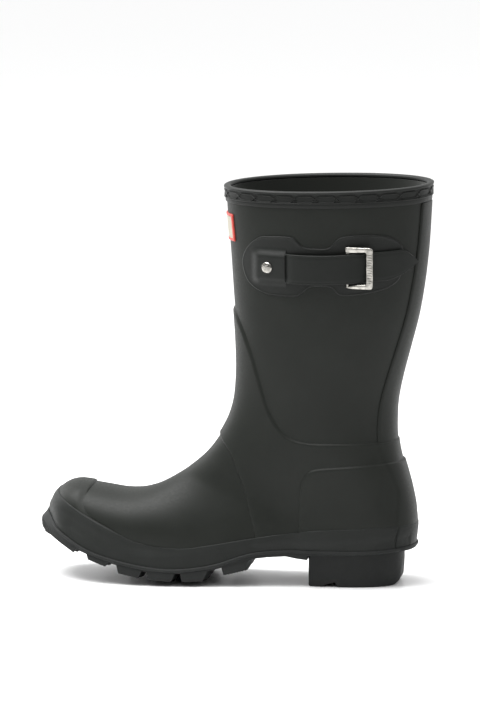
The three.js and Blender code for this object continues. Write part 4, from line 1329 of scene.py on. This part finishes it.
def patch_height(p):
    edge = patch_field(p)
    bead = PATCH_BEAD * np.exp(-((edge - PATCH_BEAD_IN) / PATCH_BEAD_HALF) ** 2)
    flat = edge_round(edge, PATCH_ROUND, 0.25, PATCH) + bead
    end = cover_end(p)
    lid = np.where(end > -5e-3, edge_round(np.maximum(end, 0), 1.0, 0.78, 1), 0)
    return flat + (COVER_OUT - PATCH) * cover_share(p) * lid


def strap_patch():
    sheet = Sheet(np.arange(1.15, 3.65, 0.04), OUTER_TURN)
    sheet.near(patch_field, 2)
    sheet.area(patch_field, PATCH_ROUND)
    for distance in (PATCH_BEAD_IN, 1.7):
        sheet.cut(patch_field, distance)
    for distance in (1.0, 0.5, 0.15, 0, -0.03):
        sheet.cut(cover_end, distance)
    end = cover_end(sheet.points())
    height = sheet.points()[:, 2]
    in_wall = (end < 5e-3) & (end > -0.04) & (np.abs(height - STRAP_Z) < SLOT_HALF)
    sheet.faces = [f for f in sheet.faces if not all(in_wall[k] for k in f)]
    inner = lambda p: np.maximum(patch_height(p) - PATCH_WALL, 0) * (patch_field(p) > 0.8)
    return finished(sheet.solid("strap_patch", patch_height, inner, 35), "strap_patch", "trim_rubber")


strap_patch()

STRAP_HALF = 11.3
STRAP = 1.9
# The strap's underside: place along the boot, height over the skin, and how far up it has drifted
STRAP_ROUTE = [
    (26, 0.9, 0), (36, 1.0, 0), (43, 1.0, 0), (45.5, 1.9, 0), (49, 3.3, 0), (54, 4.1, 0), (64, 4.8, 0),
    (75, 5.5, 0.3), (84, 6.0, 0.9), (90, 5.9, 1.3), (96, 4.7, 1.7), (102, 3.3, 2), (110, 2.7, 2.3),
    (120, 2.5, 2.9), (129, 2.4, 3.5), (137.6, 2.4, 4.1),
]
ROUND_FROM = 0.92  # parts of the strap's half-width: where its edges begin to round, and the line's place
LINE_AT, LINE_HALF, LINE_DEPTH = 0.84, 0.02, 0.22
UPPER_TAIL, LOWER_TAIL = (126, 1.7), (115, 1.9)  # where each side starts to narrow, and how sharply


def tail_half(y, tip, tail):
    """Half of the strap's width at a place along one side of it."""
    start, power = tail
    return STRAP_HALF * (1 - max(0, (y - start) / (tip - start)) ** power)


def strap():
    """The strap, with round edges, a shallow line moulded along each side, and a pointed tail."""
    route = np.array(STRAP_ROUTE)
    line = np.vstack([smooth(route[:, :2], 10).T, smooth(route[:, [0, 2]], 10)[:, 1]]).T
    flat = np.linspace(-ROUND_FROM, ROUND_FROM, 25)
    across = np.concatenate([[-1, -0.985, -0.955], flat, [0.955, 0.985, 1]])
    past = np.clip((np.abs(across) - ROUND_FROM) / 0.08, 0, 1)
    crown = np.sqrt(np.maximum(1 - past ** 2, 0))
    groove = -LINE_DEPTH * np.exp(-((np.abs(across) - LINE_AT) / LINE_HALF) ** 2)
    tip = line[-1, 0]
    rows = []
    for y, lift, drift in line:
        point, back, up, out = outer_frame(y, STRAP_Z + drift)
        side = np.where(across > 0, tail_half(y, tip, UPPER_TAIL), tail_half(y, tip, LOWER_TAIL)) * across
        thick = STRAP * (0.5 + 0.5 * crown) + groove
        low = np.full(len(across), lift) + STRAP * 0.25 * (1 - crown)
        high = lift + thick
        ring = [point + up * a + out * h for a, h in zip(side, low)]
        ring += [point + up * a + out * h for a, h in zip(side[::-1], high[::-1])]
        rows.append(ring)
    count = len(rows[0])
    faces = ring_faces(len(rows), count)
    faces.append(tuple(range(count)))
    faces.append(tuple(range((len(rows) - 1) * count, len(rows) * count)))
    return finished(mesh_object("strap", np.vstack(rows), faces, 45), "strap", "strap_rubber")


strap()


# ---------------------------------------------------------------- metal parts
def placed(points, origin, back, up, out):
    """Points given as (along, up, out) of a frame, in the boot's own axes."""
    points = np.asarray(points, float)
    return origin + points[:, :1] * back + points[:, 1:2] * up + points[:, 2:] * out


ON_AXIS = 0.001  # radius of a ring that stands for a point on the axis


def turned(name, profile, place, sides=64, uneven=None):
    """A solid of revolution about a frame's outward direction. profile: (radius, height) of each ring.
    A profile that starts away from the axis makes a ring."""
    rings = []
    for radius, height in profile:
        for k in range(sides):
            turn = 2 * math.pi * k / sides
            rings.append((radius * math.cos(turn), radius * math.sin(turn), height))
    points = np.array(rings)
    if uneven:
        points[:, 2] += uneven(points)
    faces = ring_faces(len(profile), sides, closed=profile[0][0] > ON_AXIS)
    return mesh_object(name, placed(points, *place), faces)


RIVET_RADIUS = 4.3
POST_RADIUS = 1.8
RIVET_ROUND = 1.25  # height of the head's dome
DENT_SCALE, DENT_DEPTH = 0.9, 0.16
rivet_place = outer_frame(30, 244.6)


def hammered(points):
    """Small dents over the rivet's head."""
    depth = []
    for a, b, height in points:
        dents = noise.noise(Vector((a * DENT_SCALE, b * DENT_SCALE, 3.1))) * DENT_DEPTH
        depth.append(dents if height > COVER_OUT + 0.5 else 0)
    return np.array(depth)


def rivet():
    base = COVER_OUT
    inner_end = LINING_IN - 2.2
    profile = [(ON_AXIS, inner_end), (POST_RADIUS, inner_end), (POST_RADIUS, base - 0.3)]
    profile += [(RIVET_RADIUS - 0.3, base - 0.2), (RIVET_RADIUS, base + 0.1), (RIVET_RADIUS, base + 0.4)]
    for k in range(1, 16):
        turn = math.pi / 2 * k / 15
        radius = max(RIVET_RADIUS * math.cos(turn) ** 0.8, ON_AXIS)
        profile.append((radius, base + 0.4 + RIVET_ROUND * math.sin(turn)))
    return finished(turned("rivet", profile, rivet_place, 56, hammered), "rivet", "bright_metal")


rivet()


def washer():
    inner, outer, low = POST_RADIUS + 0.15, 4.6, LINING_IN - 1.9
    profile = [
        (inner, low + 0.2), (inner + 0.2, low), (outer - 0.5, low), (outer - 0.1, low + 0.25),
        (outer, low + 0.7), (outer - 0.1, low + 1.2), (inner, low + 1.2),
    ]
    return finished(turned("rivet_washer", profile, rivet_place, 48), "rivet_washer", "bright_metal")


washer()

PIN_Y, PIN_Z, PIN_LIFT, PIN_RADIUS = 89.5, 246.3, 3.7, 0.9
PIN_SIDES = 32
BUCKLE_HALF = 15.9
BUCKLE_REACH = 19.3
BAR_WIDTH = 5
BUCKLE_THICK = 2.7
BUCKLE_TILT = math.radians(13)
# The recessed field on the cross bar, from the bar's inner edge, and the plain ribs in it
FIELD_FROM, FIELD_TO, FIELD_HALF, FIELD_DEPTH = 0.8, 4.2, 11, 0.55
BAR_RIBS, BAR_RIB_PITCH, BAR_RIB_HALF = 11, 1.95, 0.62
pin_point, pin_back, pin_up, pin_out = outer_frame(PIN_Y, PIN_Z)
pin_point = pin_point + pin_out * PIN_LIFT
pin_place = (pin_point, pin_back, pin_up, pin_out)
tilt_back = pin_back * math.cos(BUCKLE_TILT) + pin_out * math.sin(BUCKLE_TILT)
tilt_out = pin_out * math.cos(BUCKLE_TILT) - pin_back * math.sin(BUCKLE_TILT)
frame_place = (pin_point, tilt_back, pin_up, tilt_out)


def extruded(name, outline, low, high, place):
    """A prism along a frame's outward direction."""
    count = len(outline)
    points = [(a, b, low) for a, b in outline] + [(a, b, high) for a, b in outline]
    faces = [tuple(range(count)), tuple(range(2 * count - 1, count - 1, -1))]
    faces += [(k, (k + 1) % count, (k + 1) % count + count, k + count) for k in range(count)]
    return mesh_object(name, placed(points, *place), faces, merge=1e-4)


def arc(cx, cy, radius, start, end, steps=6):
    """Points of an arc, from one angle in degrees to another."""
    turns = np.radians(np.linspace(start, end, steps + 1))
    return [(cx + radius * math.cos(t), cy + radius * math.sin(t)) for t in turns]


def buckle_frame():
    """A C-shaped frame: a blunt thick arm above, a pointed arm below, and a ribbed cross bar."""
    h, reach = BUCKLE_HALF, BUCKLE_REACH
    bar = reach - BAR_WIDTH
    outline = [(-1.8, -h + 1.3), (0.4, -h + 0.4), (4, -h)]
    outline += arc(reach - 2.6, -h + 2.6, 2.6, -90, 0)
    outline += arc(reach - 2.6, h - 2.6, 2.6, 0, 90)
    outline += [(-1.0, h), (-1.9, h - 1.0), (-1.7, h - 4.0), (-0.6, h - 4.8), (2.2, h - 4.6)]
    outline += arc(bar - 1.4, h - 5.0, 1.4, 90, 0, 4)
    outline += arc(bar - 1.4, -h + 5.2, 1.4, 0, -90, 4)
    outline += [(3, -h + 3.0), (0, -h + 2.2)]
    body = extruded("frame", outline, -BUCKLE_THICK / 2, BUCKLE_THICK / 2, frame_place)
    body = bevelled(body, "buckle_frame", 0.85, 4, 50)
    left, right, face = bar + FIELD_FROM, bar + FIELD_TO, BUCKLE_THICK / 2
    field = [(left, -FIELD_HALF), (right, -FIELD_HALF), (right, FIELD_HALF), (left, FIELD_HALF)]
    field = extruded("field", field, face - FIELD_DEPTH, BUCKLE_THICK, frame_place)
    body = joined(body, field, "DIFFERENCE")
    for k in range(BAR_RIBS):
        b = (k - BAR_RIBS // 2) * BAR_RIB_PITCH
        rib = arc(bar + 3.6, b, BAR_RIB_HALF, -90, 90) + arc(bar + 1.4, b, BAR_RIB_HALF, 90, 270)
        rib = extruded("rib", rib[:-1], face - 0.8, face + 0.3, frame_place)
        body = joined(body, rib, "UNION")
    shade(body, 42)
    body.name = "buckle_frame"
    return finished(body, "buckle_frame", "bright_metal", BUCKLE)


buckle_frame()


def buckle_pin():
    """The pin, with a collar at each end where the frame's arms hold it."""
    end = BUCKLE_HALF - 0.5
    half = [
        (ON_AXIS, end), (PIN_RADIUS * 0.7, end), (PIN_RADIUS, end - 0.3), (PIN_RADIUS, end - 3.6),
        (PIN_RADIUS + 0.7, end - 3.8), (PIN_RADIUS + 0.85, end - 4.3), (PIN_RADIUS + 0.7, end - 4.8),
        (PIN_RADIUS, end - 5.0), (PIN_RADIUS, 0),
    ]
    profile = [(radius, -along) for radius, along in half] + half[-2::-1]
    place = (pin_point, pin_back, pin_out, pin_up)
    return finished(turned("buckle_pin", profile, place, PIN_SIDES), "buckle_pin", "bright_metal", BUCKLE)


buckle_pin()


def buckle_loop():
    """The rubber loop round the pin, on the patch."""
    half, hole = 7, PIN_RADIUS + 0.3
    outer = [(-3.4, -2.5), (3.4, -2.5), (3.0, -0.6)] + arc(0, 0, 1.9, 20, 160, 12) + [(-3.0, -0.6)]
    count = len(outer)
    turns = [math.atan2(b, a) for a, b in outer]
    inner = [(hole * math.cos(t), hole * math.sin(t)) for t in turns]
    points, faces = [], []
    for up in (-half, half):
        points += [(a, up, b) for a, b in outer] + [(a, up, b) for a, b in inner]
    for k in range(count):
        here = [row * count + k for row in range(4)]
        after = [row * count + (k + 1) % count for row in range(4)]
        faces += [(here[0], after[0], after[2], here[2]), (after[1], here[1], here[3], after[3])]
        faces += [(after[0], here[0], here[1], after[1]), (here[2], after[2], after[3], here[3])]
    obj = mesh_object("buckle_loop", placed(points, *pin_place), faces)
    obj = bevelled(obj, "buckle_loop", 0.35, 3)
    shade(obj)
    return finished(obj, "buckle_loop", "strap_rubber")


buckle_loop()


# ---------------------------------------------------------------- floor, light and camera
FLOOR_SIZE = 30000


def plane(name, size):
    points = [(-size, -size, 0), (size, -size, 0), (size, size, 0), (-size, size, 0)]
    mesh = bpy.data.meshes.new(name)
    mesh.from_pydata([tuple(c * MM for c in p) for p in points], [], [(0, 1, 2, 3)])
    return object_of(name, mesh)


node_material("pale_floor", (0.93, 0.93, 0.93), 0.35, specular=0.3)
floor = plane("floor", FLOOR_SIZE)
floor.data.materials.append(MATERIALS["pale_floor"])


def studio_world(side, back, top):
    """Soft light from all round: strongest from above, and weakest from the side that the camera is on."""
    world = bpy.data.worlds.new("studio")
    bpy.context.scene.world = world
    world.use_nodes = True
    tree = world.node_tree
    towards = tree.nodes.new("ShaderNodeTexCoord").outputs["Generated"]
    direction = add(tree, "ShaderNodeSeparateXYZ", Vector=towards)
    level_light = ramp(tree, direction.outputs["X"], back, side, -0.3, 0.7)
    lift = ramp(tree, direction.outputs["Z"], 0, 1, 0.25, 0.8)
    mixed = tree.nodes.new("ShaderNodeMix")
    tree.links.new(lift, mixed.inputs[0])
    tree.links.new(level_light, mixed.inputs[2])
    mixed.inputs[3].default_value = top
    background = tree.nodes["Background"]
    background.inputs["Color"].default_value = (1, 1, 1, 1)
    tree.links.new(mixed.outputs[0], background.inputs["Strength"])


studio_world(0.15, 1.0, 1.15)


def soft_light(name, place, aim, size, power):
    data = bpy.data.lights.new(name, "AREA")
    data.shape = "RECTANGLE"
    data.size, data.size_y = size
    data.energy = power
    lamp = bpy.data.objects.new(name, data)
    lamp.location = place
    lamp.rotation_euler = (Vector(aim) - Vector(place)).to_track_quat("-Z", "Y").to_euler()
    bpy.context.scene.collection.objects.link(lamp)
    return lamp


soft_light("overhead", (0.1, -0.5, 1.6), (0, -0.05, 0.1), (1.2, 1.2), 48)
soft_light("behind_toe", (-0.9, -1.3, 0.7), (0, 0, 0.15), (0.9, 1.2), 8)
soft_light("behind_heel", (-1.3, 1.1, 0.6), (0, 0.1, 0.17), (0.15, 1.2), 4)

CAMERA_DISTANCE = 6.0
CAMERA_TURN = math.radians(8)
CAMERA_RISE = math.radians(9)
VIEW_HEIGHT = 0.545  # what the picture's height takes in at the boot, in metres
SENSOR = 36
camera_data = bpy.data.cameras.new("camera")
camera_data.sensor_fit = "VERTICAL"
camera_data.sensor_height = SENSOR
camera_data.lens = SENSOR * CAMERA_DISTANCE / VIEW_HEIGHT
camera_data.clip_end = 100
camera = bpy.data.objects.new("camera", camera_data)
aim = Vector((0, 0.002, 0.167))
towards = Vector((
    math.cos(CAMERA_TURN) * math.cos(CAMERA_RISE), math.sin(CAMERA_TURN) * math.cos(CAMERA_RISE),
    math.sin(CAMERA_RISE),
))
camera.location = aim + towards * CAMERA_DISTANCE
camera.rotation_euler = (-towards).to_track_quat("-Z", "Y").to_euler()
bpy.context.scene.collection.objects.link(camera)
bpy.context.scene.camera = camera
bpy.context.scene.view_settings.view_transform = "Standard"
